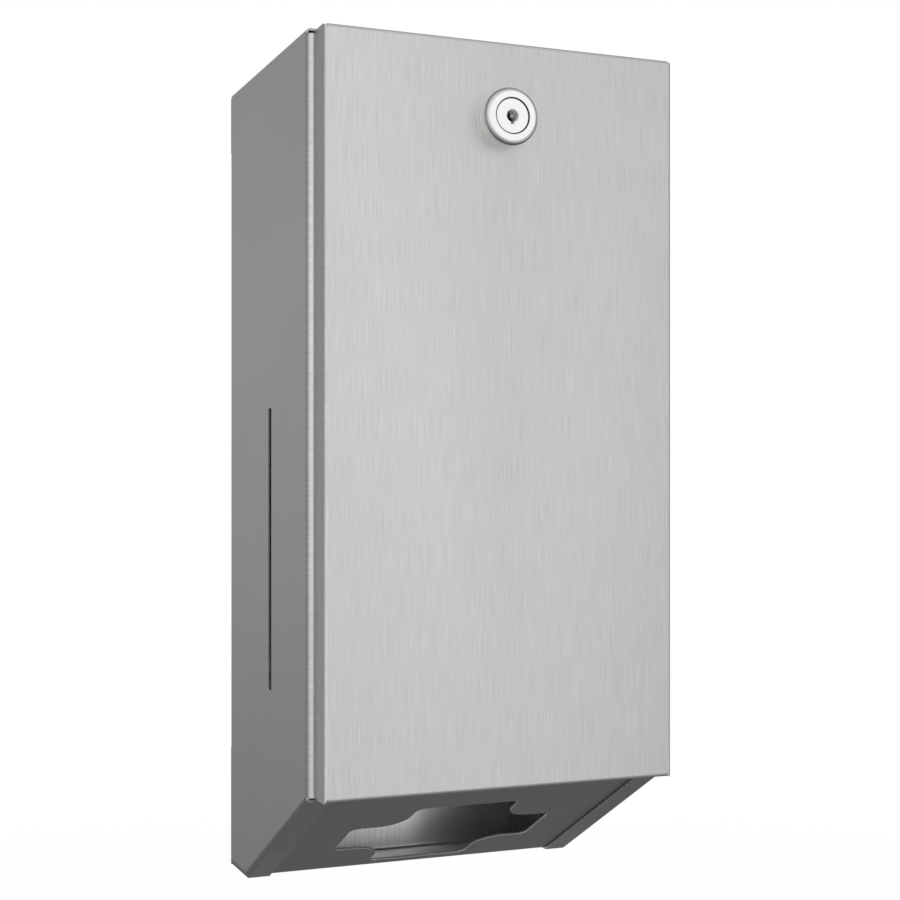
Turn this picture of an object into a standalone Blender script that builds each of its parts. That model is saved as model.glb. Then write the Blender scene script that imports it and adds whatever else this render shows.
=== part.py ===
# Wall dispenser for folded toilet tissue, folded from stainless sheet, with a locked front door.
# Metres, +Z up. The front faces -Y and the wall is at +Y. X is centred on the housing, Y is centred
# between the lock's face and the wall, and Z starts at the housing's flat bottom.

import math

import bmesh
import bpy
from mathutils import Matrix, Vector

MM = 0.001

# Sheet and the gaps between pieces
SHEET = 0.8 * MM               # stainless sheet of housing and door
LAP_GAP = 0.2 * MM             # between two sheets that are welded flat on each other
SEAM_GAP = 0.3 * MM            # between pieces that meet edge to edge
RUNNING_GAP = 0.08 * MM        # radial play of what turns in a bore
SEAT_GAP = 0.3 * MM            # between fasteners and what they hold
OVERRUN = 1.0 * MM             # how far a cutter stands out of what it cuts
WELD_DISTANCE = 0.001 * MM     # corners of neighbouring faces closer than this are one corner

# Housing
BODY_WIDTH = 130.9 * MM
BODY_HEIGHT = 293.4 * MM
BODY_DEPTH = 100.3 * MM        # from the plane behind the door to the wall
BASE_DEPTH = 23.4 * MM         # flat bottom between the chute and the wall
CHUTE_RISE = 42.8 * MM         # height of the chute's front edge over the flat bottom
FRONT_BEND = 2.8 * MM          # outer radii of the folds
TOP_BEND = 1.5 * MM
CHUTE_BEND = 1.4 * MM
EAR_BEND = 1.5 * MM
INNER_BEND = 1.6 * MM          # folds of the sheets that lie inside
FLANGE_WIDTH = 9.0 * MM        # turned-in edges of the side panels, from the outer face
RETURN_WIDTH = 10.0 * MM       # turned-in front edge behind the door
FLANGE_LEAD = 1.2 * MM         # the top and chute flanges start this far behind the front plane
CORNER_RELIEF = 1.0 * MM       # open corner between two neighbouring folds
EAR_WIDTH = 16.0 * MM
EAR_STEP = 1.8 * MM            # the rear edge between the ears stands back from the wall
TOP_EAR_HEIGHT = 22.3 * MM
LOW_EAR_HEIGHT = 45.0 * MM
EAR_FOOT = 0.3 * MM            # the low ear ends this far above the flat bottom
EAR_RELIEF = 0.1 * MM          # it stands clear of the bottom fold's end, this far in front of its own fold

# Fill-level slit in the left side
SLIT_WIDTH = 4.0 * MM
SLIT_LENGTH = 98.4 * MM
SLIT_DEPTH = 44.7 * MM         # its centre, behind the front plane
SLIT_DROP = 121.6 * MM         # its upper end, below the housing's top

# Back, top and chute panels
BACK_SIDE_GAP = 0.6 * MM       # clears the inner radius of the ears
BACK_FOOT_DEPTH = 14.0 * MM    # bottom flange of the back panel, from its rear face
SCREW_HOLE_RADIUS = 3.0 * MM
SCREW_SIDE_MARGIN = 25.45 * MM # from the housing's sides
SCREW_LOW_HEIGHT = 60.0 * MM
SCREW_TOP_DROP = 43.4 * MM
TOP_LIP_HEIGHT = 12.0 * MM     # the lock's cam catches behind this lip
TOP_FLANGE_HEIGHT = 10.0 * MM
UPSTAND_HEIGHT = 14.0 * MM     # of the chute panel behind the door, above the chute's edge
CHUTE_FOOT_GAP = 8.8 * MM      # between the chute panel's rear edge and the back panel

# Dispensing slot: a tall middle with a wing on either side
SLOT_FRONT_MARGIN = 22.0 * MM  # along the chute, from the front plane
SLOT_REAR_MARGIN = 5.0 * MM    # along the chute, from the flat bottom
SLOT_SIDE_MARGIN = 27.05 * MM  # from the housing's sides to the wings
SLOT_WING_REACH = 19.0 * MM    # how far a wing stands out of the middle
SLOT_WING_STEP = 18.0 * MM     # the middle is this much longer than a wing at each end
SLOT_MIDDLE_RADIUS = 4.0 * MM
SLOT_WING_RADIUS = 3.5 * MM
SLOT_INNER_RADIUS = 10.0 * MM

# Door
DOOR_INSET = 2.3 * MM          # of its sides, from the housing's sides
DOOR_DEPTH = 10.6 * MM         # from its front to the housing's front plane
DOOR_DROP = 1.0 * MM           # its top lies this far below the housing's top
DOOR_LIFT = 0.9 * MM           # its bottom lies this far above the chute's front edge
DOOR_BEND = 1.3 * MM
DOOR_FOOT_DEPTH = 6.2 * MM     # its bottom edge stops in front of the hinge
DOOR_SIDE_DROP = 0.2 * MM      # the side edges end this far below the bottom edge
DOOR_TURN_GAP = 0.2 * MM       # between their rounded lower corners and the housing as the door turns
DOOR_CORNER_SHARE = 0.8        # how far a side edge reaches up into the open top corner

# Hinge
ROD_RADIUS = 1.0 * MM
LEAF_SHEET = 0.7 * MM
HINGE_END_GAP = 3.2 * MM       # between the hinge's ends and the door's sides
KNUCKLE_COUNT = 9
LEAF_HEIGHT = 11.0 * MM        # fixed leaf, above the rod's axis
LEAF_FRONT_GAP = 1.0 * MM      # between the door leaf's front edge and the door's front sheet
RIVET_RADIUS = 1.2 * MM
RIVET_HEAD_RADIUS = 2.1 * MM
RIVET_HEAD_HEIGHT = 0.6 * MM
RIVET_HEIGHT = 7.0 * MM        # fixed leaf's rivets, above the rod's axis
RIVET_EDGE = 3.7 * MM          # between the last rivet's axis and the upstand's end
RIVET_COUNT = 4

# Lock, on an axis along Y
LOCK_DROP = 25.7 * MM          # its axis, below the door's top
LOCK_REACH = 6.2 * MM          # its face, in front of the door
HEAD_FACE_RADIUS = 7.9 * MM
HEAD_RADIUS = 9.5 * MM
HEAD_BASE_RADIUS = 9.4 * MM
HEAD_SHOULDER = 1.8 * MM       # depth of its widest line behind its face
BARREL_RADIUS = 7.0 * MM
PLUG_FACE_RADIUS = 5.9 * MM
PLUG_FACE_DEPTH = 4.0 * MM
PLUG_RADIUS = 5.0 * MM
PLUG_RECESS = 0.3 * MM         # the plug's face lies this far inside the head's
KEYHOLE_RADIUS = 2.0 * MM
KEYHOLE_FLOOR = 1.0 * MM       # wall between the keyhole and the cam's thread
KEY_NOTCH_WIDTH = 1.0 * MM
KEY_NOTCH_REACH = 2.75 * MM    # from the lock's axis
KEY_NOTCH_STEP = 1.0 * MM      # the notch ends this far in front of the keyhole's floor
CENTRE_PIN_RADIUS = 0.7 * MM
WAFER_COUNT = 4
WAFER_SHEET = 0.6 * MM
WAFER_WIDTH = 5.6 * MM
WAFER_SINK = 0.1 * MM          # its corners lie this far inside the plug's core
WASHER_RADIUS = 10.0 * MM
WASHER_SHEET = 0.8 * MM
NUT_ACROSS = 17.0 * MM
NUT_HEIGHT = 4.0 * MM
CAM_SHEET = 1.6 * MM
CAM_WIDTH = 12.0 * MM
CAM_LENGTH = 20.0 * MM         # from the axis to its tip
CAM_LIP_GAP = 0.4 * MM         # between the turned cam and the lip
TAIL_ACROSS = 6.0 * MM         # square end of the plug
SCREW_RADIUS = 1.9 * MM
SCREW_REACH = 6.0 * MM         # into the plug
SCREW_HEAD_RADIUS = 3.8 * MM
SCREW_HEAD_HEIGHT = 2.0 * MM
SCREW_SLOT_WIDTH = 0.9 * MM
CAM_WASHER_RADIUS = 5.0 * MM
CAM_WASHER_SHEET = 0.6 * MM
EDGE_CHAMFER = 0.4 * MM        # broken edges of the turned pieces

# How finely curves are divided
BEND_STEPS = 4
CORNER_STEPS = 6
ROUND_STEPS = 24
HEAD_STEPS = 48

# Places that follow from the sizes
HALF_WIDTH = BODY_WIDTH / 2
FRONT = (LOCK_REACH - DOOR_DEPTH - BODY_DEPTH) / 2     # front face of the door
FACE = FRONT + DOOR_DEPTH                              # front plane of the housing
WALL = FACE + BODY_DEPTH
TOP = BODY_HEIGHT
INNER_WALL = HALF_WIDTH - SHEET                        # inner face of the side panels
LAP = SHEET + LAP_GAP                                  # how deep an inner sheet lies
CHUTE_RUN = BODY_DEPTH - BASE_DEPTH
CHUTE_ANGLE = math.atan2(CHUTE_RISE, CHUTE_RUN)
CHUTE_ALONG = Vector((0, math.cos(CHUTE_ANGLE), -math.sin(CHUTE_ANGLE)))
CHUTE_OUT = Vector((0, -math.sin(CHUTE_ANGLE), -math.cos(CHUTE_ANGLE)))
CHUTE_EDGE = Vector((0, FACE, CHUTE_RISE))             # where the chute meets the front plane
CHUTE_LENGTH = math.hypot(CHUTE_RUN, CHUTE_RISE)
UPSTAND_HALF = HALF_WIDTH - RETURN_WIDTH - SEAM_GAP    # half length of what stands between the returns
SLOT_MIDDLE_LENGTH = CHUTE_LENGTH - SLOT_FRONT_MARGIN - SLOT_REAR_MARGIN
SLOT_CENTRE = SLOT_FRONT_MARGIN + SLOT_MIDDLE_LENGTH / 2
DOOR_HALF = HALF_WIDTH - DOOR_INSET
DOOR_TOP = TOP - DOOR_DROP
DOOR_BOTTOM = CHUTE_RISE + DOOR_LIFT
HINGE_LENGTH = 2 * (DOOR_HALF - HINGE_END_GAP)
KNUCKLE_BORE = ROD_RADIUS + RUNNING_GAP
KNUCKLE_RADIUS = KNUCKLE_BORE + LEAF_SHEET
HINGE_Y = FACE - SEAT_GAP - KNUCKLE_RADIUS
HINGE_Z = DOOR_BOTTOM + SHEET + SEAT_GAP + LEAF_SHEET / 2
LOCK_Z = DOOR_TOP - LOCK_DROP
CAM_FRONT = FACE + SHEET + CAM_LIP_GAP
BARREL_END = CAM_FRONT - SEAT_GAP
LOCK_FACE = FRONT - LOCK_REACH
PLUG_FACE = LOCK_FACE + PLUG_RECESS
THREAD_START = CAM_FRONT + CAM_SHEET - SCREW_REACH - SEAT_GAP
KEYHOLE_DEPTH = THREAD_START - KEYHOLE_FLOOR - PLUG_FACE
WAFER_HEIGHT = 2 * math.sqrt((PLUG_RADIUS - WAFER_SINK) ** 2 - (WAFER_WIDTH / 2) ** 2)
RIVET_REACH = UPSTAND_HALF - RIVET_EDGE
RIVET_PLACES = [RIVET_REACH * (2 * index / (RIVET_COUNT - 1) - 1) for index in range(RIVET_COUNT)]


def clear_scene():
    for item in list(bpy.data.objects):
        bpy.data.objects.remove(item, do_unlink=True)


def make_material(name, color, roughness, metallic):
    material = bpy.data.materials.new(name)
    material.use_nodes = True
    shader = material.node_tree.nodes["Principled BSDF"]
    shader.inputs["Base Color"].default_value = (*color, 1.0)
    shader.inputs["Roughness"].default_value = roughness
    shader.inputs["Metallic"].default_value = metallic
    material.diffuse_color = (*color, 1.0)
    return material


def make_object(name, mesh, material, pivot=None):
    """Makes an object of a finished bmesh. With a pivot, its origin lies on the pivot's axis."""
    if pivot is not None:
        bmesh.ops.transform(mesh, matrix=Matrix.Translation(-pivot_place(pivot)), verts=mesh.verts)
    data = bpy.data.meshes.new(name)
    mesh.to_mesh(data)
    mesh.free()
    item = bpy.data.objects.new(name, data)
    bpy.context.collection.objects.link(item)
    if material is not None:
        data.materials.append(material)
    item.parent = pivot
    return item


def pivot_place(pivot):
    place = Vector(pivot.location)
    while pivot.parent is not None:
        pivot = pivot.parent
        place += pivot.location
    return place


def make_pivot(name, place, parent=None):
    pivot = bpy.data.objects.new(name, None)
    bpy.context.collection.objects.link(pivot)
    pivot.parent = parent
    pivot.location = place - (pivot_place(parent) if parent else Vector())
    return pivot


def make_cutter(name, mesh):
    cutter = make_object(name, mesh, None)
    cutter.hide_render = True
    cutter.display_type = "WIRE"
    return cutter


def cut(item, cutter):
    modifier = item.modifiers.new(cutter.name, "BOOLEAN")
    modifier.operation = "DIFFERENCE"
    modifier.solver = "EXACT"
    modifier.object = cutter


def fold(start, end, outward, inward, radius, run, start_skew=0.0, end_skew=0.0):
    """Faces of an edge folded at right angles: a rounded bend of the radius, then a flat run.

    start and end are where the bend begins on the flat sheet, outward leads over the edge and inward is
    the side it folds to. A skew moves an end along the edge, by that share of how far out the bend lies.
    """
    along = (end - start).normalized()
    rows = []
    for step in range(BEND_STEPS + 1):
        angle = math.pi / 2 * step / BEND_STEPS
        out = radius * math.sin(angle)
        shift = outward * out + inward * radius * (1 - math.cos(angle))
        rows.append((start + shift + along * start_skew * out, end + shift + along * end_skew * out))
    rows.append(tuple(point + inward * run for point in rows[-1]))
    return [[a0, a1, b1, b0] for (a0, a1), (b0, b1) in zip(rows, rows[1:])]


def sheet_object(name, faces, outward, thickness, material, pivot=None):
    """A folded sheet: the faces are its outer side, and Solidify gives it thickness on the inner side."""
    mesh = bmesh.new()
    for points in faces:
        mesh.faces.new([mesh.verts.new(point) for point in points])
    bmesh.ops.remove_doubles(mesh, verts=mesh.verts, dist=WELD_DISTANCE)
    bmesh.ops.recalc_face_normals(mesh, faces=mesh.faces)
    mesh.faces.ensure_lookup_table()
    mesh.normal_update()
    if mesh.faces[0].normal.dot(outward) < 0:
        bmesh.ops.reverse_faces(mesh, faces=mesh.faces)
    item = make_object(name, mesh, material, pivot)
    solidify = item.modifiers.new("Thickness", "SOLIDIFY")
    solidify.thickness = thickness
    solidify.offset = -1
    solidify.use_even_offset = True
    return item


def prism(outline, depth, matrix):
    """A closed prism: the outline in X and Y, drawn out by the depth along Z, then placed by the matrix."""
    mesh = bmesh.new()
    face = mesh.faces.new([mesh.verts.new((x, y, 0)) for x, y in outline])
    top = bmesh.ops.extrude_face_region(mesh, geom=[face])["geom"]
    moved = [part for part in top if isinstance(part, bmesh.types.BMVert)]
    bmesh.ops.translate(mesh, vec=(0, 0, depth), verts=moved)
    bmesh.ops.recalc_face_normals(mesh, faces=mesh.faces)
    bmesh.ops.transform(mesh, matrix=matrix, verts=mesh.verts)
    return mesh


def box(low, high):
    """A closed box between two corners."""
    low = Vector(low)
    high = Vector(high)
    mesh = bmesh.new()
    bmesh.ops.create_cube(mesh, size=1)
    middle = (low + high) / 2
    matrix = Matrix.Translation(middle) @ Matrix.Diagonal((*(high - low), 1))
    bmesh.ops.transform(mesh, matrix=matrix, verts=mesh.verts)
    return mesh


def ring_points(radius, count, centre=(0, 0)):
    angles = [math.tau * step / count for step in range(count)]
    return [(centre[0] + radius * math.cos(a), centre[1] + radius * math.sin(a)) for a in angles]


def arc_points(centre, radius, first, last, steps):
    angles = [first + (last - first) * step / steps for step in range(steps + 1)]
    return [(centre[0] + radius * math.cos(a), centre[1] + radius * math.sin(a)) for a in angles]


def along_y(x, y, z):
    """Places what was drawn around Z so that it lies around Y, its Z running back from y."""
    return Matrix.Translation((x, y, z)) @ Matrix.Rotation(-math.pi / 2, 4, "X")


def along_x(x, y, z):
    """Places what was drawn around Z so that it lies around X, its Z running to +X from x."""
    return Matrix.Translation((x, y, z)) @ Matrix.Rotation(math.pi / 2, 4, "Y")


def turned(profile, count, matrix):
    """A closed turned body. The profile is a list of radius and height, and zero radii close on the axis."""
    mesh = bmesh.new()
    rings = []
    for radius, height in profile:
        if radius == 0:
            rings.append([mesh.verts.new((0, 0, height))] * count)
        else:
            rings.append([mesh.verts.new((x, y, height)) for x, y in ring_points(radius, count)])
    hollow = all(radius > 0 for radius, _ in profile)
    pairs = list(zip(rings, rings[1:]))
    if hollow:
        pairs.append((rings[-1], rings[0]))
    for lower, upper in pairs:
        for step in range(count):
            after = (step + 1) % count
            corners = [lower[step], lower[after], upper[after], upper[step]]
            unique = list(dict.fromkeys(corners))
            if len(unique) > 2:
                mesh.faces.new(unique)
    bmesh.ops.recalc_face_normals(mesh, faces=mesh.faces)
    bmesh.ops.transform(mesh, matrix=matrix, verts=mesh.verts)
    return mesh


def shade_round(item):
    item.data.shade_smooth()
    item.data.set_sharp_from_angle(angle=math.radians(30))


def join_meshes(meshes):
    """Puts several separate closed bodies into one bmesh."""
    whole = bmesh.new()
    for mesh in meshes:
        data = bpy.data.meshes.new("part")
        mesh.to_mesh(data)
        mesh.free()
        whole.from_mesh(data)
        bpy.data.meshes.remove(data)
    return whole


def chute_point(distance, x=0.0, depth=0.0):
    """A point on the chute's outer plane: distance along it from the front plane, and depth inside it."""
    return CHUTE_EDGE + CHUTE_ALONG * distance - CHUTE_OUT * depth + Vector((x, 0, 0))


def chute_at_y(y, depth):
    """The point where a plane at that depth inside the chute's outer plane crosses a given Y."""
    start = chute_point(0, depth=depth)
    return start + CHUTE_ALONG * ((y - start.y) / CHUTE_ALONG.y)


def chute_at_z(z, depth):
    start = chute_point(0, depth=depth)
    return start + CHUTE_ALONG * ((z - start.z) / CHUTE_ALONG.z)


# Side panels

def side_panel(name, side, material):
    """A flat web with folded edges at the front, top, chute and bottom, and two ears at the wall."""
    x = side * HALF_WIDTH
    inward = Vector((-side, 0, 0))
    half_turn = math.tan(CHUTE_ANGLE / 2)

    def at(y, z):
        return Vector((x, y, z))

    top_front = at(FACE + FLANGE_LEAD, TOP - TOP_BEND)
    top_rear = at(WALL - EAR_STEP, TOP - TOP_BEND)
    ear_y = WALL - EAR_BEND
    top_ear = (at(ear_y, TOP - TOP_BEND), at(ear_y, TOP - TOP_EAR_HEIGHT))
    low_ear = (at(ear_y, LOW_EAR_HEIGHT), at(ear_y, EAR_FOOT))
    foot_rear = at(WALL - EAR_STEP, CHUTE_BEND)
    corner = chute_at_z(CHUTE_BEND, CHUTE_BEND) + Vector((x, 0, 0))
    chute_front = chute_at_y(FACE + FLANGE_LEAD, CHUTE_BEND) + Vector((x, 0, 0))
    return_top = TOP - SHEET - CORNER_RELIEF
    front_low = at(FACE + FRONT_BEND, chute_front.z)
    front_top = at(FACE + FRONT_BEND, return_top)

    web = [
        top_front, top_rear, *top_ear,
        at(WALL - EAR_STEP, TOP - TOP_EAR_HEIGHT), at(WALL - EAR_STEP, LOW_EAR_HEIGHT),
        *low_ear, at(ear_y - EAR_RELIEF, EAR_FOOT), at(ear_y - EAR_RELIEF, CHUTE_BEND), foot_rear, corner,
        chute_front,
        front_low, front_top, at(FACE + FLANGE_LEAD, return_top),
    ]
    forward = Vector((0, -1, 0))
    back = Vector((0, 1, 0))
    faces = [web]
    faces += fold(top_front, top_rear, Vector((0, 0, 1)), inward, TOP_BEND, FLANGE_WIDTH - TOP_BEND)
    faces += fold(front_low, front_top, forward, inward, FRONT_BEND, RETURN_WIDTH - FRONT_BEND)
    for ear in (top_ear, low_ear):
        faces += fold(*ear, back, inward, EAR_BEND, EAR_WIDTH - EAR_BEND)
    run = FLANGE_WIDTH - CHUTE_BEND
    faces += fold(chute_front, corner, CHUTE_OUT, inward, CHUTE_BEND, run,
                  math.tan(CHUTE_ANGLE), half_turn)
    faces += fold(corner, foot_rear, Vector((0, 0, -1)), inward, CHUTE_BEND, run, -half_turn, 0)
    return sheet_object(name, faces, Vector((side, 0, 0)), SHEET, material)


def slit_cutter():
    """Cuts the fill-level slit through the left web."""
    middle = FACE + SLIT_DEPTH
    high = TOP - SLIT_DROP
    low = high - SLIT_LENGTH
    near = -HALF_WIDTH - OVERRUN
    far = -INNER_WALL + OVERRUN
    mesh = box((near, middle - SLIT_WIDTH / 2, low), (far, middle + SLIT_WIDTH / 2, high))
    return make_cutter("slit_cutter", mesh)


# Back, top and chute

def back_panel(material):
    """Flat back between the ears and the top, with a foot folded forward between the side flanges."""
    rear = WALL - LAP
    half = INNER_WALL - BACK_SIDE_GAP
    foot_half = HALF_WIDTH - FLANGE_WIDTH - SEAM_GAP
    low = INNER_BEND
    high = TOP - LAP

    def at(x, z):
        return Vector((x, rear, z))

    web = [at(-half, high), at(half, high), at(half, low), at(foot_half, low), at(-foot_half, low),
           at(-half, low)]
    faces = [web]
    faces += fold(at(-foot_half, low), at(foot_half, low), Vector((0, 0, -1)), Vector((0, -1, 0)),
                  INNER_BEND, BACK_FOOT_DEPTH - INNER_BEND)
    panel = sheet_object("back_panel", faces, Vector((0, 1, 0)), SHEET, material)
    holes = []
    for x in (SCREW_SIDE_MARGIN - HALF_WIDTH, HALF_WIDTH - SCREW_SIDE_MARGIN):
        for z in (SCREW_LOW_HEIGHT, TOP - SCREW_TOP_DROP):
            start = rear - SHEET - OVERRUN
            holes.append(prism(ring_points(SCREW_HOLE_RADIUS, ROUND_STEPS), SHEET + 2 * OVERRUN,
                               along_y(x, start, z)))
    cut(panel, make_cutter("wall_screw_cutter", join_meshes(holes)))
    return panel


def top_panel(material):
    """Top sheet under the side flanges, folded down into a lip in front and flanges on the other sides."""
    high = TOP - LAP
    half = INNER_WALL - LAP_GAP
    rear = WALL - LAP - SHEET - LAP_GAP
    bend = INNER_BEND
    shoulder = FACE + SHEET + SEAM_GAP                 # behind the side panels' front return
    down = Vector((0, 0, -1))

    def at(x, y):
        return Vector((x, y, high))

    side_front = shoulder + bend
    lip_line = FACE + bend
    rear_line = rear - bend
    side_line = half - bend
    web = [
        at(-UPSTAND_HALF, lip_line), at(UPSTAND_HALF, lip_line), at(UPSTAND_HALF, side_front),
        at(side_line, side_front), at(side_line, rear_line), at(-side_line, rear_line),
        at(-side_line, side_front), at(-UPSTAND_HALF, side_front),
    ]
    faces = [web]
    faces += fold(web[0], web[1], Vector((0, -1, 0)), down, bend, TOP_LIP_HEIGHT - bend)
    faces += fold(web[3], web[4], Vector((1, 0, 0)), down, bend, TOP_FLANGE_HEIGHT - bend)
    faces += fold(web[5], web[4], Vector((0, 1, 0)), down, bend, TOP_FLANGE_HEIGHT - bend)
    faces += fold(web[6], web[5], Vector((-1, 0, 0)), down, bend, TOP_FLANGE_HEIGHT - bend)
    return sheet_object("top_panel", faces, Vector((0, 0, 1)), SHEET, material)


def rounded_corner(previous, corner, following, radius):
    """The points of an arc that rounds one corner of an outline, on either side of it."""
    here = Vector(corner)
    to_previous = (Vector(previous) - here).normalized()
    to_following = (Vector(following) - here).normalized()
    half = to_previous.angle(to_following) / 2
    reach = radius / math.tan(half)
    centre = here + (to_previous + to_following).normalized() * (radius / math.sin(half))
    first = here + to_previous * reach - centre
    turn = to_previous.cross(to_following)
    sweep = math.copysign(math.pi - 2 * half, -turn)
    points = []
    for step in range(CORNER_STEPS + 1):
        angle = sweep * step / CORNER_STEPS
        spun = Vector((first.x * math.cos(angle) - first.y * math.sin(angle),
                       first.x * math.sin(angle) + first.y * math.cos(angle)))
        points.append(tuple(centre + spun))
    return points


def slot_outline():
    """A tall middle crossed by two shorter wings. X is across the chute and Y is along it."""
    wing = HALF_WIDTH - SLOT_SIDE_MARGIN
    middle = wing - SLOT_WING_REACH
    tall = SLOT_MIDDLE_LENGTH / 2
    low = tall - SLOT_WING_STEP
    corners = []
    for across, along in ((1, 1), (-1, 1), (-1, -1), (1, -1)):
        group = [
            ((across * wing, along * low), SLOT_WING_RADIUS),
            ((across * middle, along * low), SLOT_INNER_RADIUS),
            ((across * middle, along * tall), SLOT_MIDDLE_RADIUS),
        ]
        corners += group if across == along else group[::-1]
    outline = []
    for index, (corner, radius) in enumerate(corners):
        before = corners[index - 1][0]
        after = corners[(index + 1) % len(corners)][0]
        outline += rounded_corner(before, corner, after, radius)
    return outline


def chute_panel(material):
    """Sloping underside with the dispensing slot, an upstand behind the door and a flat foot at the back."""
    half = HALF_WIDTH - CHUTE_BEND
    depth = LAP
    bend = INNER_BEND
    side = Vector((1, 0, 0))

    # The front fold turns through less than a right angle, so its arc is placed by its own centre
    centre_front = chute_at_y(FACE + bend, depth + bend)
    centre_foot = chute_at_z(LAP + bend, depth + bend)
    start_front = math.pi                                     # outward direction -Y
    end_front = math.atan2(CHUTE_OUT.z, CHUTE_OUT.y) + math.tau
    end_foot = -math.pi / 2 + math.tau
    upstand_top = chute_point(0, depth=depth).z + UPSTAND_HEIGHT

    def row(centre, angle, half_row):
        y = centre.y + bend * math.cos(angle)
        z = centre.z + bend * math.sin(angle)
        return Vector((-half_row, y, z)), Vector((half_row, y, z))

    front_rows = [(Vector((-UPSTAND_HALF, FACE, upstand_top)), Vector((UPSTAND_HALF, FACE, upstand_top)))]
    for step in range(BEND_STEPS + 1):
        angle = start_front + (end_front - start_front) * step / BEND_STEPS
        front_rows.append(row(centre_front, angle, UPSTAND_HALF))
    foot_rows = []
    for step in range(BEND_STEPS + 1):
        angle = end_front + (end_foot - end_front) * step / BEND_STEPS
        foot_rows.append(row(centre_foot, angle, half))
    foot_end = WALL - LAP - SHEET - CHUTE_FOOT_GAP
    foot_rows.append((Vector((-half, foot_end, LAP)), Vector((half, foot_end, LAP))))
    shoulder = chute_at_y(FACE + SHEET + SEAM_GAP + bend, depth)
    slope = [
        front_rows[-1][0], front_rows[-1][1],
        shoulder + side * UPSTAND_HALF, shoulder + side * half,
        foot_rows[0][1], foot_rows[0][0],
        shoulder - side * half, shoulder - side * UPSTAND_HALF,
    ]
    faces = [slope]
    for rows in (front_rows, foot_rows):
        faces += [[a0, a1, b1, b0] for (a0, a1), (b0, b1) in zip(rows, rows[1:])]
    panel = sheet_object("chute_panel", faces, CHUTE_OUT, SHEET, material)

    frame = Matrix((
        (1, 0, 0),
        (0, CHUTE_ALONG.y, -CHUTE_OUT.y),
        (0, CHUTE_ALONG.z, -CHUTE_OUT.z),
    )).to_4x4()
    place = Matrix.Translation(chute_point(SLOT_CENTRE, depth=-OVERRUN)) @ frame
    mesh = prism(slot_outline(), depth + SHEET + 2 * OVERRUN, place)
    cut(panel, make_cutter("slot_cutter", mesh))
    return panel


# Door

def door_panel(material, pivot):
    """A pan: front sheet with four turned-in edges and open corners. The bottom edge is the shallow one."""
    half = DOOR_HALF - DOOR_BEND
    low = DOOR_BOTTOM + DOOR_BEND
    high = DOOR_TOP - DOOR_BEND
    back = Vector((0, 1, 0))
    run = DOOR_DEPTH - SEAM_GAP - DOOR_BEND
    side_foot = DOOR_BOTTOM - DOOR_SIDE_DROP
    low_share = (low - side_foot) / DOOR_BEND
    turn_radius = FACE - HINGE_Y - DOOR_TURN_GAP
    first_turn = -math.acos((FACE - SEAM_GAP - HINGE_Y) / turn_radius)
    last_turn = -math.asin((HINGE_Z - side_foot) / turn_radius)

    def at(x, z):
        return Vector((x, FRONT, z))

    faces = [[at(-half, low), at(half, low), at(half, high), at(-half, high)]]
    faces += fold(at(-half, high), at(half, high), Vector((0, 0, 1)), back, DOOR_BEND, run)
    faces += fold(at(-half, low), at(half, low), Vector((0, 0, -1)), back, DOOR_BEND,
                  DOOR_FOOT_DEPTH - DOOR_BEND)
    for side in (-1, 1):
        strips = fold(at(side * half, low), at(side * half, high), Vector((side, 0, 0)), back, DOOR_BEND,
                      run, -low_share, DOOR_CORNER_SHARE)
        flat = strips.pop()
        front_low, front_high, rear_high = flat[:3]
        corner = arc_points((HINGE_Y, HINGE_Z), turn_radius, first_turn, last_turn, CORNER_STEPS)
        rounded = [Vector((front_low.x, y, z)) for y, z in corner]
        faces += strips + [[front_low, front_high, rear_high, *rounded]]
    panel = sheet_object("door_panel", faces, Vector((0, -1, 0)), SHEET, material, pivot)
    hole = prism(ring_points(BARREL_RADIUS + SEAT_GAP, ROUND_STEPS), SHEET + 2 * OVERRUN,
                 along_y(0, FRONT - OVERRUN, LOCK_Z))
    cut(panel, make_cutter("lock_hole_cutter", hole))
    holes = [sunk_rivet_hole(Matrix.Translation((x, door_rivet_y(), DOOR_BOTTOM))) for x in RIVET_PLACES]
    cut(panel, make_cutter("door_rivet_cutter", join_meshes(holes)))
    return panel


def door_rivet_y():
    return FRONT + (DOOR_BEND + DOOR_FOOT_DEPTH) / 2


# Hinge

def knuckle_spans(first):
    """The X spans of every second knuckle, counted from the first."""
    pitch = HINGE_LENGTH / KNUCKLE_COUNT
    spans = []
    for index in range(first, KNUCKLE_COUNT, 2):
        low = -HINGE_LENGTH / 2 + index * pitch + SEAM_GAP / 2
        spans.append((low, low + pitch - SEAM_GAP))
    return spans


def hinge_leaf(name, first, tab, plate_low, plate_high, material, pivot):
    """A leaf plate with its knuckles. The tab outline leads from each knuckle into the plate."""
    mesh = box(plate_low, plate_high)
    leaf = make_object(name, mesh, material, pivot)
    place = [along_x(low, HINGE_Y, HINGE_Z) for low, _ in knuckle_spans(first)]
    lengths = [high - low for low, high in knuckle_spans(first)]
    rings = []
    for matrix, length in zip(place, lengths):
        profile = [(KNUCKLE_BORE, 0), (KNUCKLE_RADIUS, 0), (KNUCKLE_RADIUS, length), (KNUCKLE_BORE, length)]
        rings.append(turned(profile, ROUND_STEPS, matrix))
    tabs = [box((low, *tab[0]), (high, *tab[1])) for low, high in knuckle_spans(first)]
    for label, meshes in (("knuckles", rings), ("tabs", tabs)):
        part = make_cutter(f"{name}_{label}", join_meshes(meshes))
        modifier = leaf.modifiers.new(part.name, "BOOLEAN")
        modifier.operation = "UNION"
        modifier.solver = "EXACT"
        modifier.object = part
    return leaf


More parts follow.
